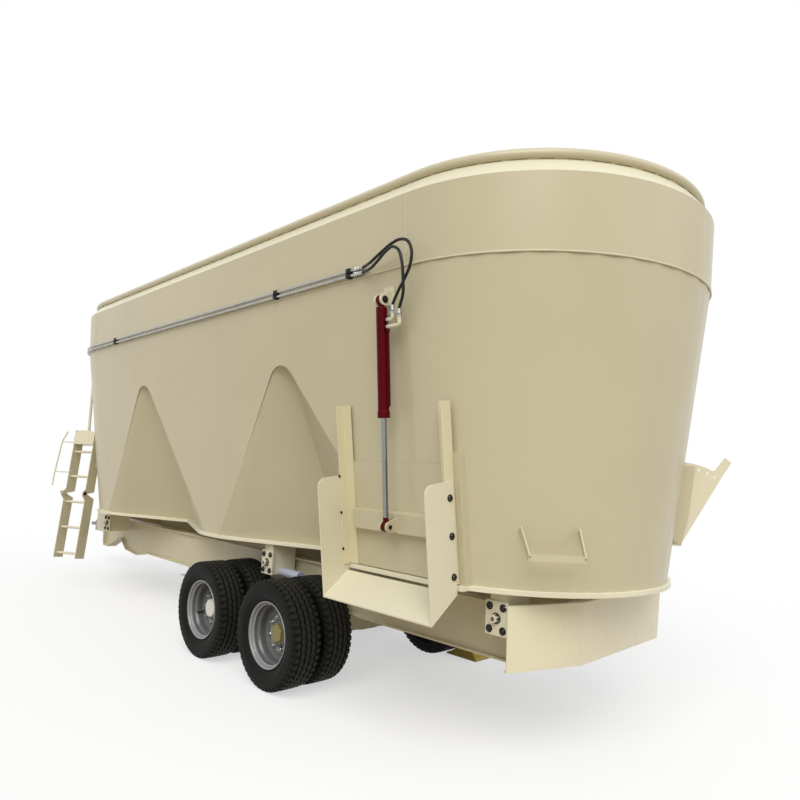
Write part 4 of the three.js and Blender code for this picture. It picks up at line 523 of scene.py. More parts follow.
# Hoses of the door cylinder, along the same routes as in the solids
ROD_PIN = (0.3, 0.13)
TOP_PIN = (1.618, 0.072)
CYL_X = -0.137
cyl_low = panel_point(CYL_X, ROD_PIN[1], ROD_PIN[0])
cyl_high = panel_point(CYL_X, TOP_PIN[1], TOP_PIN[0])
CYL_LENGTH = (cyl_high - cyl_low).length
CYL = Matrix.Translation(cyl_low) @ Matrix.Rotation(
    math.atan2(cyl_low.y - cyl_high.y, cyl_high.z - cyl_low.z), 4, "X"
)
BARREL_LENGTH = 0.69
BARREL_LOW = CYL_LENGTH - BARREL_LENGTH
BARREL_TOP = CYL_LENGTH - 0.042
PORT_TOP = BARREL_TOP - 0.078
PORT_LOW = PORT_TOP - 0.055
PIPE_RADIUS = 0.009
PIPE_RISE = 0.016
PIPE_PATH_RADIUS = SEAM_RADIUS + 0.022
PIPE_Z = FLOOR + 1.822
PIPE_END = -0.43
HOSE_START = PIPE_END + 0.046 + GAP
HOSE_UPPER = [
    (-0.23, 0.06, 1.858), (-0.14, 0.066, 1.89), (-0.04, 0.072, 1.922), (0.048, 0.078, 1.932),
    (0.118, 0.086, 1.905), (0.148, 0.092, 1.84), (0.132, 0.096, 1.765), (0.084, 0.096, 1.7),
    (0.022, 0.09, 1.64),
]
HOSE_LOWER = [
    (-0.23, 0.062, 1.822), (-0.15, 0.074, 1.85), (-0.07, 0.086, 1.884), (0, 0.096, 1.898),
    (0.06, 0.106, 1.866), (0.092, 0.116, 1.79), (0.098, 0.12, 1.7), (0.084, 0.112, 1.62),
]


def smooth_line(points, steps=8):
    """A centripetal Catmull-Rom line through points."""
    points = [Vector(p) for p in points]
    first = points[0] * 2 - points[1]
    last = points[-1] * 2 - points[-2]
    chain = [first, *points, last]
    line = []
    for p0, p1, p2, p3 in zip(chain, chain[1:], chain[2:], chain[3:]):
        t1 = max((p1 - p0).length, 1e-5) ** 0.5
        t2 = t1 + max((p2 - p1).length, 1e-5) ** 0.5
        t3 = t2 + max((p3 - p2).length, 1e-5) ** 0.5
        for i in range(steps):
            t = t1 + (t2 - t1) * i / steps
            a1 = p0 * (t1 - t) / t1 + p1 * t / t1
            a2 = p1 * (t2 - t) / (t2 - t1) + p2 * (t - t1) / (t2 - t1)
            a3 = p2 * (t3 - t) / (t3 - t2) + p3 * (t - t2) / (t3 - t2)
            b1 = a1 * (t2 - t) / t2 + a2 * t / t2
            b2 = a2 * (t3 - t) / (t3 - t1) + a3 * (t - t1) / (t3 - t1)
            line.append(b1 * (t2 - t) / (t2 - t1) + b2 * (t - t1) / (t2 - t1))
    line.append(points[-1])
    return line


def hose(name, route, pipe_up, reach, port_height):
    """A hose from its pipe, along a route on the panel, down to its port's elbow."""
    start = Vector((HOSE_START, -PIPE_PATH_RADIUS, PIPE_Z + pipe_up))
    end_up = PORT_TOP + port_height + GAP
    end = CYL @ Vector((reach, 0, end_up))
    above = CYL @ Vector((reach, 0, end_up + 0.03))
    points = [start, start + Vector((0.015, 0, 0)), start + Vector((0.03, 0, 0))]
    points += [panel_point(*p) for p in route]
    points += [above, (above + end) / 2, end]
    line = [p + ORIGIN for p in smooth_line(points)]
    curve = bpy.data.curves.new(name, "CURVE")
    curve.dimensions = "3D"
    curve.bevel_depth = PIPE_RADIUS
    curve.bevel_resolution = 4
    curve.use_fill_caps = True
    spline = curve.splines.new("POLY")
    spline.points.add(len(line) - 1)
    for point, place in zip(spline.points, line):
        point.co = (*place, 1)
    spline.use_smooth = True
    curve.materials.append(hose_rubber)
    piece = bpy.data.objects.new(name + "_cover", curve)
    scene.collection.objects.link(piece)
    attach(piece, "machine")
    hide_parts(name)
    # Crimped sleeves on both ends
    bm = bmesh.new()
    for tip, inner in ((points[0], points[2]), (points[-1], points[-3])):
        sleeve = [(0.0092, 0.002), (0.0125, 0.003), (0.0125, 0.012), (0.0118, 0.0135), (0.0125, 0.015),
                  (0.0125, 0.024), (0.0118, 0.0255), (0.0125, 0.027), (0.0125, 0.034), (0.0094, 0.036)]
        turned(bm, sleeve, 20, between(tip, inner))
    finished(name + "_ends", faced_out(bm), zinc, 40, "machine", slot="bare_steel")
    length = sum((b - a).length for a, b in zip(line, line[1:]))
    tuple(line[0])


hose("hose_upper", HOSE_UPPER, PIPE_RISE, 0.092, 0.044)
hose("hose_lower", HOSE_LOWER, -PIPE_RISE, 0.146, 0.016)


# Sheet metal, castings and other plain nodes, with softened edges
def weighted(piece):
    """Shading that favours the large faces."""
    made = piece.modifiers.new("normals", "WEIGHTED_NORMAL")
    made.keep_sharp = True
    made.weight = 100


def chains(links):
    """The lines that start at the loose ends of links between points."""
    used = set()
    for end in sorted(p for p in links if len(links[p]) == 1):
        if end in used:
            continue
        chain, onward = [], [end]
        while onward:
            chain.append(onward[0])
            used.add(onward[0])
            onward = [p for p in links[onward[0]] if p not in used]
        yield chain


def tub_skin():
    """The tub's wall, smooth round its ends and creased along the edges of its folds."""
    piece = dress("tub_wall", cream, 30, 0)
    bm = bmesh.new()
    bm.from_mesh(piece.data)
    margin = 0.05
    links = {}
    for edge in bm.edges:
        if not all(on_panel(v.co) for v in edge.verts):
            continue
        between_ends = all(FRONT + margin < v.co.x - ORIGIN.x < -margin for v in edge.verts)
        if between_ends and len(edge.link_faces) == 2 and edge.calc_face_angle(0) > math.radians(1.2):
            edge.smooth = False
        if not edge.smooth and all(abs(v.co.z - FLOOR) > 0.001 for v in edge.verts):
            one, two = (tuple(round(c, 5) for c in v.co) for v in edge.verts)
            links.setdefault(one, []).append(two)
            links.setdefault(two, []).append(one)
    bm.to_mesh(piece.data)
    bm.free()
    # A thin bead along each long edge of a fold, fading out at its foot, in a darker cream that is painted shade:
    # the shadow line along the fold's edge
    fold_shadow_beads = bmesh.new()
    for chain in chains(links):
        foot = min(p[2] for p in chain)
        tall = max(p[2] for p in chain) - foot
        if len(chain) > 2 and tall > 0.3:
            radii = [0.0042 * min(1, 0.1 + (p[2] - foot) / (0.45 * tall)) for p in chain]
            swept(fold_shadow_beads, chain, 0, 8, radii=radii)
    finished("painted_fold_shadow_lines", faced_out(fold_shadow_beads), fold_shadow_paint, 60, "machine", slot="cream", offset=False)
    return piece


weighted(tub_skin())
for names, material, angle, bevel in [
    ("floor_plate", painted_light_cream, 30, 0.003),
    ("rear_step", cream, 30, 0.0012),
    ("beam_near beam_far crossmember_rear crossmember_middle crossmember_front", chassis_cream, 30, 0.003),
    ("gearbox_rear gearbox_middle gearbox_front", chassis_cream, 40, 0.003),
    ("load_cell_near_rear load_cell_near_middle load_cell_near_front", pale_cream, 30, 0.0015),
    ("load_cell_far_rear load_cell_far_middle load_cell_far_front", pale_cream, 30, 0.0015),
    ("drawbar", chassis_cream, 30, 0.004),
    ("hitch_eye", worn, 40, 0.002),
    ("jack_sleeve", chassis_cream, 40, 0.002),
    ("jack_leg", zinc, 30, 0.002),
    ("rear_guard", guard_cream, 30, 0.0015),
    ("axle_front axle_rear", chassis_cream, 40, 0.003),
    ("door_panel", cream, 40, 0.0012),
    ("door_guide_front door_guide_rear", guide_cream, 30, 0.0012),
    ("chute", pale_cream, 30, 0.0014),
    ("cylinder_bracket", pale_cream, 40, 0.001),
    ("ladder_upper ladder_lower", pale_cream, 62, 0.0008),
    ("counter_knife", pale_cream, 30, 0.0008),
    ("knife_guide", cream, 40, 0.0008),
    ("wheel_chock", yellow, 30, 0.002),
    ("auger_rear auger_middle auger_front", worn, 40, 0.002),
    ("shaft_rear shaft_middle shaft_input", yellow, 40, 0.001),
]:
    for name in names.split():
        weighted(dress(name, material, angle, bevel))


# The tub's band, ring and rim pipe, with fine curved ends
def round_tub(name, section, material, angle, bevel=0):
    """A part of the tub, from a section of (radius, height) pairs."""
    bm = bmesh.new()
    add_rings(bm, [stadium(radius, z) for radius, z in section], closed=True)
    return finished(
        name + "_skin", bm, material, angle, "machine", (name,), slots[name], True, bevel
    )


def rim_section():
    """The rim pipe, flattened where it stands on the ring."""
    radius = 0.032
    flat = -0.85
    middle = RING_RADIUS + SHEET / 2
    height = BAND_TOP + RING + GAP + radius * math.cos(math.pi / 6)
    angles = [math.radians(a) for a in range(0, 360, 20)]
    return [(middle + radius * math.cos(a), height + radius * max(math.sin(a), flat)) for a in angles]


foot = SEAM + GAP
weighted(round_tub("upper_band", [
    (SEAM_RADIUS, foot), (SEAM_RADIUS + 0.0005, foot), (BAND_RADIUS, BAND_TOP),
    (BAND_RADIUS - SHEET, BAND_TOP), (SEAM_RADIUS - SHEET, foot),
], cream, 30, 0.0015))
foot = BAND_TOP + GAP
# The spill ring in the paler cream, painted light for the sky on its tilted face
weighted(round_tub("spill_ring", [
    (BAND_RADIUS, foot), (RING_RADIUS + SHEET, BAND_TOP + RING), (RING_RADIUS, BAND_TOP + RING),
    (BAND_RADIUS - SHEET, foot),
], painted_light_cream, 30, 0.0015))
round_tub("rim_pipe", rim_section(), cream, 60)


# Weld beads along the band's seam, up its joints and, as tacks, under the rim pipe
def bead(bm, points, radius, segments=8, closed=False):
    """A weld bead: a thin tube whose size wavers along its length."""
    waver = [0.14 * math.sin(1.7 * i) + 0.1 * math.sin(0.61 * i + 1) for i in range(len(points))]
    swept(bm, points, radius, segments, closed, [radius * (1 + w) for w in waver])


MIDDLE_JOINT = -2.31
bm = bmesh.new()
bead(bm, stadium(SEAM_RADIUS + 0.0005, SEAM - 0.0035, 72), 0.0062, closed=True)
for x in (0, FRONT, MIDDLE_JOINT):
    for sign in (-1, 1):
        foot = Vector((x, sign * (SEAM_RADIUS + 0.0008), SEAM))
        top = Vector((x, sign * BAND_RADIUS, BAND_TOP - 0.004))
        bead(bm, [foot.lerp(top, i / 40) for i in range(41)], 0.0026, 6)
finished("tub_welds", bm, weld_cream, 60, "machine", slot="cream")
bm = bmesh.new()
TACK_SPACING = 0.14
TACK_STEP = 0.016
ring_edge = stadium(RING_RADIUS + SHEET + 0.001, BAND_TOP + RING - 0.001, 240)
passed = 0.0
for a, b in zip(ring_edge, ring_edge[1:] + ring_edge[:1]):
    steps = max(1, round((b - a).length / TACK_STEP))
    for i in range(steps):
        passed += (b - a).length / steps
        if passed > TACK_SPACING:
            passed = 0.0
            middle = a.lerp(b, i / steps)
            along = (b - a).normalized() * (0.024 + 0.012 * math.sin(37 * middle.x + 11 * middle.y))
            bead(bm, [middle + along * (k / 4 - 1) for k in range(9)], 0.0052, 6)
finished("rim_tacks", bm, weld_cream, 60, "machine", slot="cream")

# Tyres and wheels, turned about Y with +Y away from the machine: TWIN is the middle of a pair of tyres,
# OUTER the outer rim's edge
AXLE_HEIGHT = 0.383
AXLES = {"front": -2.357, "rear": -1.378}
TWIN = 0.8285
TWIN_HALF = 0.1375
OUTER = 1.064
TREAD_STEPS = 288
LUG_STEPS = 6
CROWN = 0.3835
GROOVE_DEPTH = 0.014


def tyre_mesh():
    """One tyre: ribbed sidewalls, notched shoulders and a tread with four zigzag grooves."""
    bm = bmesh.new()
    side = [
        (0.2184, 0.0795), (0.222, 0.0815), (0.2285, 0.0835), (0.236, 0.0885), (0.2445, 0.0955), (0.2455, 0.0975),
        (0.249, 0.0985), (0.251, 0.0978), (0.262, 0.1045), (0.276, 0.1105), (0.292, 0.1148), (0.2935, 0.1158),
        (0.2975, 0.1163), (0.299, 0.1157), (0.312, 0.1175), (0.328, 0.1185), (0.342, 0.118), (0.3505, 0.1165),
    ]
    grooves = [-0.062, -0.021, 0.021, 0.062]
    rings = []
    for i in range(TREAD_STEPS):
        a = 2 * math.pi * i / TREAD_STEPS
        beat = (i % LUG_STEPS) / LUG_STEPS
        zig = 0.0058 * (4 * abs(beat - 0.5) - 1)
        notch = 1.0 if i % LUG_STEPS in (0, 1) else 0.0
        shoulder = [
            (0.3585 - 0.005 * notch, 0.1145 - 0.005 * notch), (0.368 - 0.013 * notch, 0.1105 - 0.005 * notch),
            (0.3765 - 0.016 * notch, 0.1045 - 0.002 * notch), (0.3808 - 0.015 * notch, 0.098),
            (0.3826 - 0.013 * notch, 0.087),
        ]
        line = [(r, -w) for r, w in side + shoulder]
        for k, g in enumerate(grooves):
            shift = zig if k % 2 else -zig
            crown = CROWN - 0.0012 * abs(g) / 0.06
            lips = ((crown, 0.0082), (crown - 0.001, 0.0074), (crown - GROOVE_DEPTH, 0.0052))
            line += [(r, g - half + shift) for r, half in lips]
            line += [(r, g + half + shift) for r, half in reversed(lips)]
            if k < len(grooves) - 1:
                line.append((0.3838, (g + grooves[k + 1]) / 2))
        line += [(r, w) for r, w in reversed(side + shoulder)]
        rings.append([Vector((r * math.cos(a), w, r * math.sin(a))) for r, w in line])
    add_rings(bm, rings, closed=True)
    mesh = smooth_mesh("tyre", faced_out(bm), 38)
    mesh.materials.append(tyre_rubber)
    return mesh


def wheel_mesh():
    """Both rims, the disc between them and the hub."""
    bm = bmesh.new()
    rim = [
        (0.2315, 1.0542), (0.2332, 1.0565), (0.2332, 1.061), (0.2312, 1.0636), (0.2282, 1.064), (0.2245, 1.0622),
        (0.2205, 1.0572), (0.2182, 1.05), (0.2165, 1.042), (0.2125, 1.0372), (0.2085, 1.0362), (0.2062, 1.034),
        (0.2052, 1.029), (0.2048, 1.02), (0.203, 1.0075), (0.1985, 1.0), (0.1935, 0.9945), (0.1912, 0.988),
        (0.191, 0.965), (0.191, 0.935), (0.1885, 0.921), (0.182, 0.913), (0.172, 0.9092), (0.163, 0.9085),
        (0.1585, 0.911), (0.1555, 0.916), (0.1535, 0.933), (0.152, 0.949), (0.1495, 0.954), (0.145, 0.9555),
        (0.1405, 0.9535), (0.138, 0.948), (0.135, 0.939), (0.13, 0.9365), (0.094, 0.9365), (0.0905, 0.938),
        (0.089, 0.9415), (0.0888, 0.952), (0.087, 0.9555), (0.0835, 0.9575), (0.079, 0.958), (0.0765, 0.9592),
        (0.0757, 0.961), (0.074, 0.9623), (0.07, 0.9627), (0.0, 0.9627),
    ]
    outside = [
        (0.2315, 1.0542), (0.219, 1.0535), (0.2178, 1.052), (0.2176, 1.046), (0.2012, 1.0013), (0.2008, 0.9975),
    ]
    inner_face = 2 * TWIN - OUTER
    back = [(r, 2 * TWIN - w) for r, w in outside]
    inner = [
        (0.2315, 2 * TWIN - 1.0542), (0.2332, inner_face + 0.006), (0.2332, inner_face + 0.0025),
        (0.2305, inner_face), (0.2245, inner_face + 0.002), (0.2182, inner_face + 0.014),
        (0.2125, inner_face + 0.027), (0.205, inner_face + 0.035), (0.1912, inner_face + 0.076), (0.191, 0.80),
        (0.17, 0.812), (0.09, 0.812), (0.086, 0.80), (0.086, 0.79), (0.06, 0.789), (0.0, 0.789),
    ]
    profile = rim[::-1] + outside[1:] + back[::-1][:-1] + inner
    turned(bm, profile, 96, Matrix.Rotation(-math.pi / 2, 4, "X"))
    return faced_out(bm)


def hub_nuts():
    """Wheel nuts on their washers and studs, round the disc."""
    count, circle = 8, 0.115
    bm = bmesh.new()
    for k in range(count):
        a = 2 * math.pi * (k + 0.5) / count
        x, z = circle * math.cos(a), circle * math.sin(a)
        matrix = between((x, 0.9363, z), (x, 1, z))
        turned(bm, [(0, 0), (0.0168, 0), (0.0172, 0.003), (0.0158, 0.006), (0, 0.006)], 24, matrix)
        turned(bm, [(0, 0.006), (0.0142, 0.006), (0.0142, 0.019), (0.0125, 0.021), (0, 0.021)], 6, matrix)
        turned(bm, [(0, 0.02), (0.0085, 0.02), (0.0085, 0.029), (0.0075, 0.0302), (0, 0.0302)], 16, matrix)
    return faced_out(bm)


def hub_cap(hexagonal):
    """The cap on the hub: hexagonal and olive at the rear, round and white at the front."""
    bm = bmesh.new()
    matrix = between((0, 0.9625, 0), (0, 1, 0))
    turned(bm, [(0, -0.002), (0.0725, -0.002), (0.0735, 0.0), (0.0725, 0.003), (0, 0.003)], 48, matrix)
    sides = 6 if hexagonal else 48
    turned(bm, [(0, 0.002), (0.07, 0.002), (0.0712, 0.004), (0.07, 0.016), (0.064, 0.0212), (0, 0.0225)],
           sides, matrix, 0.3)
    if not hexagonal:
        turned(bm, [(0, 0.022), (0.014, 0.022), (0.0135, 0.0262), (0, 0.0265)], 6, matrix)
    return faced_out(bm)


def valve():
    """The outer tyre's valve and the longer stem from the inner tyre."""
    bm = bmesh.new()
    swept(bm, bent([(0.17, 0.908, 0), (0.172, 0.935, 0), (0.181, 0.985, 0)], 0.015), 0.0045, 10)
    swept(bm, bent([(0.172, 0.925, 0), (0.155, 0.968, 0), (0.086, 0.972, 0)], 0.02), 0.0045, 10)
    turned(bm, [(0, 0), (0.0056, 0), (0.006, 0.003), (0.006, 0.016), (0, 0.017)], 12,
           between((0.181, 0.983, 0), (0.184, 1.0, 0)))
    return faced_out(bm)


tyre_data = tyre_mesh()
for where, x in AXLES.items():
    for side, sign in (("near", -1), ("far", 1)):
        body = f"{side}_{where}_wheels"
        place = Matrix.Translation(ORIGIN + Vector((x, 0, AXLE_HEIGHT)))
        place = place @ Matrix.Rotation(math.pi if sign < 0 else 0, 4, "Z")
        roll = 0.35 if where == "front" else 2.2
        world = place @ Matrix.Rotation(roll, 4, "Y")
        for row, centre, lean in (("outer", TWIN + TWIN_HALF, 0.1), ("inner", TWIN - TWIN_HALF, 0.6)):
            label = f"tyre_{side}_{where}_{row}"
            data = tyre_data.copy()
            data.transform(Matrix.Rotation(roll + lean, 4, "Y"))
            piece = bpy.data.objects.new(label + "_skin", data)
            scene.collection.objects.link(piece)
            piece.matrix_world = place @ Matrix.Translation((0, centre, 0))
            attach(piece, body)
            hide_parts(label)
        parts = [
            ("wheel", wheel_mesh(), silver, 32, (f"wheel_{side}_{where}",), "wheel_grey"),
            ("nuts", hub_nuts(), zinc, 32, (), "bare_steel"),
            ("cap", hub_cap(where == "rear"), olive if where == "rear" else white, 32, (), "wheel_grey"),
            ("valve", valve(), black_bolt, 32, (), "bare_steel"),
        ]
        for label, bm, material, angle, replaces, slot in parts:
            bmesh.ops.transform(bm, verts=bm.verts, matrix=world)
            finished(f"{side}_{where}_{label}", bm, material, angle, body, replaces, slot, False)


# Door cylinder: heights run along its axis from the pin on the door
def in_cylinder(bm, profile, segments=48):
    turned(bm, profile, segments, CYL)


def crosswise(x, up):
    """A matrix at a place in the cylinder, with its Z axis along the machine."""
    return CYL @ Matrix.Translation((x, 0, up)) @ Matrix.Rotation(math.pi / 2, 4, "Y")


def eye(bm, bore, up):
    """An eye for a pin, across the cylinder."""
    turned(bm, [
        (bore, -0.017), (0.0285, -0.017), (0.03, -0.0155), (0.03, 0.0155), (0.0285, 0.017), (bore, 0.017),
    ], 40, crosswise(0, up))


# How far each port's elbow reaches, how high its hose ends above PORT_TOP, and where the port is
PORTS = ((0.092, 0.044, PORT_TOP - 0.002), (0.146, 0.016, PORT_LOW + 0.012))
bm = bmesh.new()
in_cylinder(bm, [
    (0.0172, BARREL_LOW + 0.002), (0.027, BARREL_LOW), (0.0355, BARREL_LOW), (0.037, BARREL_LOW + 0.0015),
    (0.037, BARREL_LOW + 0.0385), (0.0358, BARREL_LOW + 0.041), (0.0336, BARREL_LOW + 0.042),
    (0.0333, BARREL_LOW + 0.044), (0.0333, BARREL_TOP - 0.008), (0.0325, BARREL_TOP - 0.003), (0.03, BARREL_TOP),
    (0.0, BARREL_TOP),
])
in_cylinder(bm, [
    (0, BARREL_TOP - 0.005), (0.017, BARREL_TOP - 0.005), (0.0172, CYL_LENGTH - 0.02), (0, CYL_LENGTH - 0.02),
], 24)
eye(bm, 0.0132, CYL_LENGTH)
for reach, height, up in PORTS:
    boss = [(0, 0.02), (0.0165, 0.02), (0.0165, 0.049), (0.0155, 0.0505), (0, 0.0505)]
    turned(bm, boss, 28, crosswise(0, up))
finished(
    "cylinder_barrel_skin", bm, red, 34, "door_cylinder_barrel", ("cylinder_barrel",), "dark_red",
    True, 0.0012,
)

# The thin pipe along the barrel, from its lower end up to the ports
bm = bmesh.new()
side = 0.0525
start = BARREL_LOW + 0.072
corners = [(0.034, 0, start), (side, 0, start), (side, 0, PORT_LOW + 0.004)]
swept(bm, [CYL @ p for p in bent(corners, 0.0105, 8)], 0.0062, 16)
nut = [(0, -0.004), (0.0115, -0.004), (0.0115, 0.012), (0.0095, 0.014), (0, 0.014)]
turned(bm, nut, 6, crosswise(0.034, start))
nut = [(0, -0.018), (0.0105, -0.018), (0.0105, 0.0), (0, 0.0)]
turned(bm, nut, 6, CYL @ Matrix.Translation((side, 0, PORT_LOW)))
finished("cylinder_side_pipe", bm, red, 40, "door_cylinder_barrel", slot="dark_red")

# Forged elbows from the ports' bosses up to the ends of their hoses, with a nut at each end
bm = bmesh.new()
nuts = bmesh.new()
for reach, height, up in PORTS:
    top = PORT_TOP + height - 0.014
    line = bent([(0.052, 0, up), (reach, 0, up), (reach, 0, top)], 0.02, 8)
    swept(bm, [CYL @ p for p in line], 0.0115, 20)
    nut = [(0, 0), (0.0168, 0), (0.0168, 0.0105), (0.0152, 0.012), (0, 0.012)]
    turned(nuts, nut, 6, crosswise(0.0507, up))
    nut = [(0, 0), (0.0135, 0), (0.0142, 0.0015), (0.0142, 0.0125), (0.0128, 0.014), (0, 0.014)]
    turned(nuts, nut, 6, CYL @ Matrix.Translation((reach, 0, top)))
finished("port_elbows", bm, pale_cream, 50, "door_cylinder_barrel", slot="cream")
finished("cylinder_ports", nuts, zinc, 30, "door_cylinder_barrel", slot="bare_steel")
bm = bmesh.new()
in_cylinder(bm, [
    (0.0163, BARREL_LOW - 0.0006), (0.022, BARREL_LOW - 0.0008), (0.0235, BARREL_LOW + 0.0002),
    (0.0163, BARREL_LOW + 0.0012),
], 40)
finished("cylinder_wiper", bm, hose_rubber, 40, "door_cylinder_barrel", slot="hose_rubber")

# Dark pin heads on the outer faces of the two clevises
bm = bmesh.new()
for out in (Vector((-1, 0, 0)), Vector((1, 0, 0))):
    spot = cyl_high + out * 0.0311
    matrix = between(spot, spot + out)
    turned(bm, [(0, 0), (0.0215, 0), (0.0215, 0.0035), (0, 0.0035)], 28, matrix)
    turned(bm, [(0, 0.0035), (0.0165, 0.0035), (0.0165, 0.0095), (0.015, 0.011), (0, 0.011)], 28, matrix)
finished("cylinder_pin_heads", bm, black_bolt, 34, "machine", slot="bare_steel")
bm = bmesh.new()
for out in (Vector((-1, 0, 0)), Vector((1, 0, 0))):
    spot = cyl_low + out * 0.0333
    head = [(0, 0), (0.0125, 0), (0.0125, 0.006), (0.011, 0.0075), (0, 0.0075)]
    turned(bm, head, 28, between(spot, spot + out))
finished("rod_pin_heads", bm, black_bolt, 34, "door", slot="bare_steel")

bm = bmesh.new()
piston = BARREL_LOW + 0.046
in_cylinder(bm, [
    (0, 0.052), (0.0152, 0.052), (0.016, 0.0532), (0.016, piston), (0.028, piston), (0.028, piston + 0.03),
    (0, piston + 0.03),
])
finished("cylinder_rod_skin", bm, chrome, 40, "door_cylinder_rod", ("cylinder_rod",), "bare_steel")
bm = bmesh.new()
eye(bm, 0.0175, 0)
in_cylinder(bm, [(0, 0.02), (0.0165, 0.02), (0.0172, 0.03), (0.0172, 0.0555), (0.0158, 0.057), (0, 0.057)], 6)
finished("cylinder_rod_eye", bm, red, 34, "door_cylinder_rod", slot="dark_red")

# Brake cylinders on the outside of the beams, between the tyres
for side, sign in (("near", -1), ("far", 1)):
    y = sign * 0.64
    beam_face = sign * 0.5202
    body, ends, bracket = bmesh.new(), bmesh.new(), bmesh.new()
    matrix = between((-1.86, y, 0.728), (-1.6, y, 0.724))
    turned(body, [
        (0, 0.0), (0.022, 0.0), (0.03, 0.006), (0.036, 0.012), (0.037, 0.02), (0.037, 0.252), (0.0405, 0.254),
        (0.042, 0.258), (0.042, 0.27), (0.0405, 0.274), (0.033, 0.2765), (0.03, 0.272), (0, 0.272),
    ], 40, matrix)
    turned(body, [(0, -0.185), (0.0085, -0.185), (0.009, -0.184), (0.009, 0.004), (0, 0.004)], 20, matrix)
    finished(f"brake_cylinder_{side}", body, blue_silver, 34, "machine", slot="bare_steel")
    turned(ends, [
        (0, -0.19), (0.014, -0.19), (0.0155, -0.188), (0.0155, -0.165), (0.014, -0.163), (0, -0.163),
    ], 6, matrix)
    turned(ends, [(0, 0.272), (0.009, 0.272), (0.009, 0.282), (0.008, 0.284), (0, 0.284)], 6, matrix)
    finished(f"brake_fittings_{side}", ends, black_bolt, 30, "machine", slot="bare_steel")
    lug = [
        (beam_face, 0.665), (sign * 0.645, 0.68), (sign * 0.66, 0.705), (sign * 0.645, 0.73), (beam_face, 0.745),
    ]
    drawn(bracket, lug, -1.843, -1.835)
    finished(f"brake_bracket_{side}", bracket, chassis_cream, 30, "machine", slot="cream", bevel=0.0015)

# Pipes of the door cylinder with their fittings and clamps
bm = bmesh.new()
fittings = bmesh.new()
PIPE_TURN = (270, 196)
for up in (-PIPE_RISE, PIPE_RISE):
    z = PIPE_Z + up
    radius = PIPE_PATH_RADIUS
    line = [Vector((PIPE_END + (FRONT - PIPE_END) * k / 3, -radius, z)) for k in range(3)]
    for i in range(25):
        a = math.radians(PIPE_TURN[0] + (PIPE_TURN[1] - PIPE_TURN[0]) * i / 24)
        line.append(Vector((FRONT + radius * math.cos(a), radius * math.sin(a), z)))
    swept(bm, line, PIPE_RADIUS, 14)
    matrix = between((PIPE_END - 0.001, -radius, z), (0, -radius, z))
    turned(fittings, [
        (0, 0), (0.0125, 0), (0.014, 0.0015), (0.014, 0.0215), (0.0112, 0.0235), (0.0112, 0.027), (0.0135, 0.029),
        (0.0135, 0.0455), (0.012, 0.0468), (0, 0.0468),
    ], 6, matrix)
finished("door_pipes_skin", bm, zinc, 50, "machine", ("door_pipes",), "bare_steel")
finished("pipe_fittings", fittings, zinc, 30, "machine", slot="bare_steel")
bm = bmesh.new()
studs = bmesh.new()
CLAMP_WIDTH = 0.034
PLATE_OVER = 0.002
foot = -(SEAM_RADIUS + 0.0043)
for x in (FRONT + 0.61, -1.321, PIPE_END - 0.068):
    for up in (-PIPE_RISE, PIPE_RISE):
        block(bm, (x, foot - 0.029, PIPE_Z + up - 0.0148), (x + CLAMP_WIDTH, foot, PIPE_Z + up + 0.0148))
    block(
        bm, (x - PLATE_OVER, foot - 0.0315, PIPE_Z - 0.03),
        (x + CLAMP_WIDTH + PLATE_OVER, foot - 0.0288, PIPE_Z + 0.03),
    )
    bolt(studs, (x + CLAMP_WIDTH / 2, foot - 0.0315, PIPE_Z), (0, -1, 0), 0.0078, 0.0075)
finished("pipe_clamps", bm, black_bolt, 30, "machine", slot="hose_rubber", bevel=0.0012)
finished("clamp_bolts", studs, black_bolt, 30, "machine", slot="bare_steel")


# Bolts on the chute's cheeks and on the front guide's leg inside them
CHEEK_FACES = ((-0.6203, -1), (0.3003, 1))
CHEEK_FOOT = -0.165
CHEEK_HEIGHT = 0.737
CHEEK_OUT = 0.053


def chute_bolts():
    bm = bmesh.new()
    for x, way in CHEEK_FACES:
        for share in (0.3, 0.6, 0.88):
            spot = panel_point(x, CHEEK_OUT, CHEEK_FOOT + CHEEK_HEIGHT * share)
            bolt(bm, spot, (way, 0, 0), 0.0152, 0.0115, 0.003)
    leg = [PANEL_INVERSE @ (v.co - ORIGIN) for v in nodes["door_guide_front"].data.vertices]
    leg_out = -min(v.y for v in leg)
    leg_foot = min(v.z for v in leg)
    leg_length = max(v.z for v in leg) - leg_foot
    face = [v for v in leg if abs(v.y + leg_out) < 0.004]
    middle = sum(v.x for v in face) / len(face)
    out = PANEL.to_3x3() @ Vector((0, -1, 0))
    for share in (0.1, 0.33, 0.56):
        bolt(bm, panel_point(middle, leg_out, leg_foot + leg_length * share), out, 0.0075, 0.006, 0.002)
    finished("chute_bolts", bm, black_bolt, 30, "machine", slot="bare_steel")


def ladder_pivot_bolts():
    """Bolt heads on both ends of the folding ladder's pivot."""
    fold = next(j for j in frame["record"]["behaviour"]["joints"] if j["name"] == "ladder_fold")
    pivot, way = Vector(fold["pos_m"]) - ORIGIN, Vector(fold["axis"]).normalized()
    bm = bmesh.new()
    for sign in (-1, 1):
        bolt(bm, pivot + way * sign * 0.1655, way * sign, 0.017, 0.014, 0.004)
    finished("ladder_pivot_bolts", bm, black_bolt, 30, "machine", slot="bare_steel")


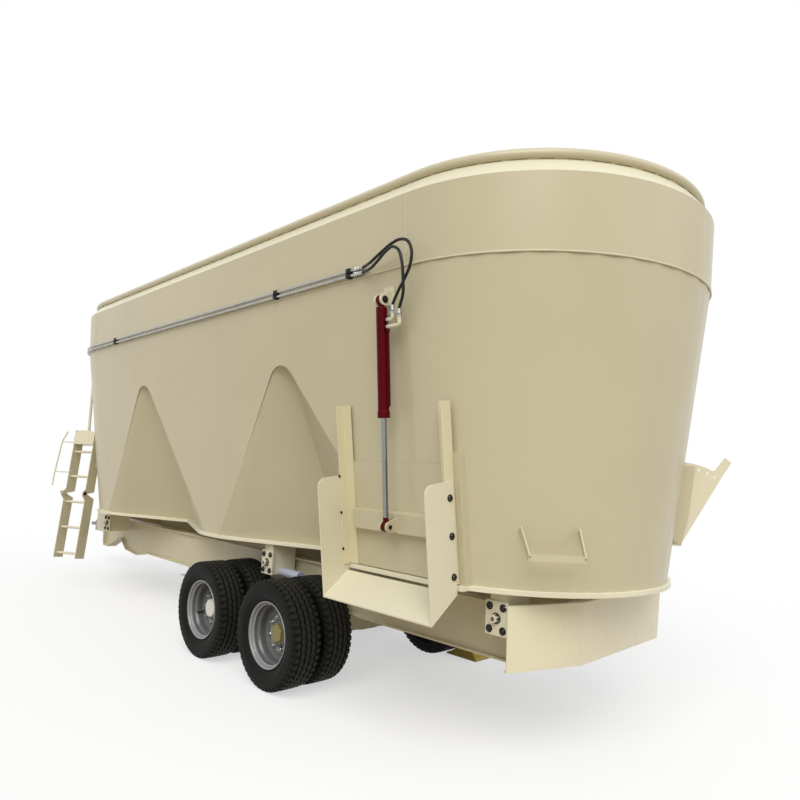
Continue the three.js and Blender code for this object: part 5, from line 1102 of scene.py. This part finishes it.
def rear_guard_lip():
    """The folded lip along the top of the rear guard."""
    section = [(0.0, 0.0), (0.0, 0.004), (0.003, 0.0065), (0.026, 0.0065), (0.026, 0.0)]
    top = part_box("rear_guard")[1].z - ORIGIN.z - 0.0005
    corners = ((0.505, -0.785), (0.672, -0.3), (0.672, 0.3), (0.645, 0.765))
    path = [Vector((*corner, 0)) for corner in corners]
    ways = [(b - a).normalized() for a, b in zip(path, path[1:])]
    rings = []
    for point, before, after in zip(path, ways[:1] + ways, ways + ways[-1:]):
        inward = Vector((-(before + after).y, (before + after).x, 0)).normalized()
        rings.append([point + inward * a + Vector((0, 0, top + b)) for a, b in section])
    bm = bmesh.new()
    add_rings(bm, rings)
    finished("rear_guard_lip", bm, painted_light_cream, 30, "machine", slot="cream")


# Load cells: the places of their face plates along the machine
CELLS = (0.405, -1.895, -5.35)
CELL_FACE = 0.756
CELL_HEIGHT = FLOOR - 0.178
CELL_BOLT_ACROSS = 0.046
CELL_BOLT_UP = 0.06167


def load_cell_bolts():
    """Four bolts and a large nut with its stud on every face plate."""
    bm = bmesh.new()
    nuts = bmesh.new()
    for x in CELLS:
        for sign in (-1, 1):
            face = sign * CELL_FACE
            for dx in (-CELL_BOLT_ACROSS, CELL_BOLT_ACROSS):
                for dz in (-CELL_BOLT_UP, CELL_BOLT_UP):
                    bolt(bm, (x + dx, face, CELL_HEIGHT + dz), (0, sign, 0), 0.0165, 0.0125, 0.003)
            matrix = between((x, face, CELL_HEIGHT), (x, face + sign, CELL_HEIGHT))
            for sides, profile in (
                (32, [(0, 0), (0.031, 0), (0.031, 0.004), (0, 0.004)]),
                (6, [(0, 0.004), (0.0255, 0.004), (0.0255, 0.022), (0.0235, 0.0245), (0, 0.0245)]),
                (24, [(0, 0.02), (0.0135, 0.02), (0.0135, 0.0335), (0.0122, 0.035), (0, 0.035)]),
            ):
                turned(nuts, profile, sides, matrix)
    finished("load_cell_bolts", bm, black_bolt, 30, "machine", slot="bare_steel")
    finished("load_cell_nuts", nuts, stud_steel, 30, "machine", slot="bare_steel")


chute_bolts()
load_cell_bolts()
ladder_pivot_bolts()
rear_guard_lip()


# Floor, light and background
# Floor, light and background
def seen_directly(tree):
    """1 for rays from the camera, a glossy surface or a clear one."""
    path = tree.nodes.new("ShaderNodeLightPath")
    value = path.outputs["Is Camera Ray"]
    for name in ("Is Glossy Ray", "Is Transmission Ray"):
        value = computed(tree, "ShaderNodeMath", "MAXIMUM", value, path.outputs[name]).outputs[0]
    return value


def mixed(tree, factor, one, two):
    """A mix of two shader nodes, by a number or an output."""
    made = tree.nodes.new("ShaderNodeMixShader")
    if isinstance(factor, float):
        made.inputs[0].default_value = factor
    else:
        tree.links.new(factor, made.inputs[0])
    tree.links.new(one.outputs[0], made.inputs[1])
    tree.links.new(two.outputs[0], made.inputs[2])
    return made


HALF = 90
floor_mesh = bpy.data.meshes.new("studio_floor")
corners = [(-HALF, -HALF, 0), (HALF, -HALF, 0), (HALF, HALF, 0), (-HALF, HALF, 0)]
floor_mesh.from_pydata(corners, [], [(0, 1, 2, 3)])
floor = bpy.data.objects.new("studio_floor", floor_mesh)
scene.collection.objects.link(floor)
material, tree, bsdf = shader("studio_floor")
tree.nodes.remove(bsdf)
plain = tree.nodes.new("ShaderNodeBsdfDiffuse")
plain.inputs["Color"].default_value = (0.5, 0.42, 0.3, 1)
shown = tree.nodes.new("ShaderNodeBsdfDiffuse")
shown.inputs["Color"].default_value = (0.9, 0.9, 0.9, 1)
glow = tree.nodes.new("ShaderNodeEmission")
glow.inputs["Strength"].default_value = 1.0
either = mixed(tree, seen_directly(tree), plain, mixed(tree, 0.55, shown, glow))
tree.links.new(either.outputs[0], tree.nodes["Material Output"].inputs["Surface"])
floor_mesh.materials.append(material)

world = bpy.data.worlds.new("studio")
scene.world = world
world.use_nodes = True
tree = world.node_tree
seen = tree.nodes.new("ShaderNodeBackground")
seen.inputs["Color"].default_value = (1, 1, 1, 1)
seen.inputs["Strength"].default_value = 1.0
soft = tree.nodes["Background"]
soft.inputs["Color"].default_value = (0.93, 0.96, 1.0, 1)
soft.inputs["Strength"].default_value = 0.55
either = mixed(tree, seen_directly(tree), soft, seen)
tree.links.new(either.outputs[0], tree.nodes["World Output"].inputs["Surface"])


def sun(name, toward, strength, softness, color=(1, 1, 1)):
    """A sun lamp that shines from a direction, with its softness in degrees."""
    data = bpy.data.lights.new(name, "SUN")
    data.energy = strength
    data.angle = math.radians(softness)
    data.color = color
    lit = bpy.data.objects.new(name, data)
    lit.matrix_world = Vector(toward).to_track_quat("Z", "Y").to_matrix().to_4x4()
    scene.collection.objects.link(lit)


sun("key", (0.46, -0.58, 0.72), 2.3, 46, (1, 0.985, 0.95))
sun("rear", (0.9, 0.35, 0.6), 0.5, 60)
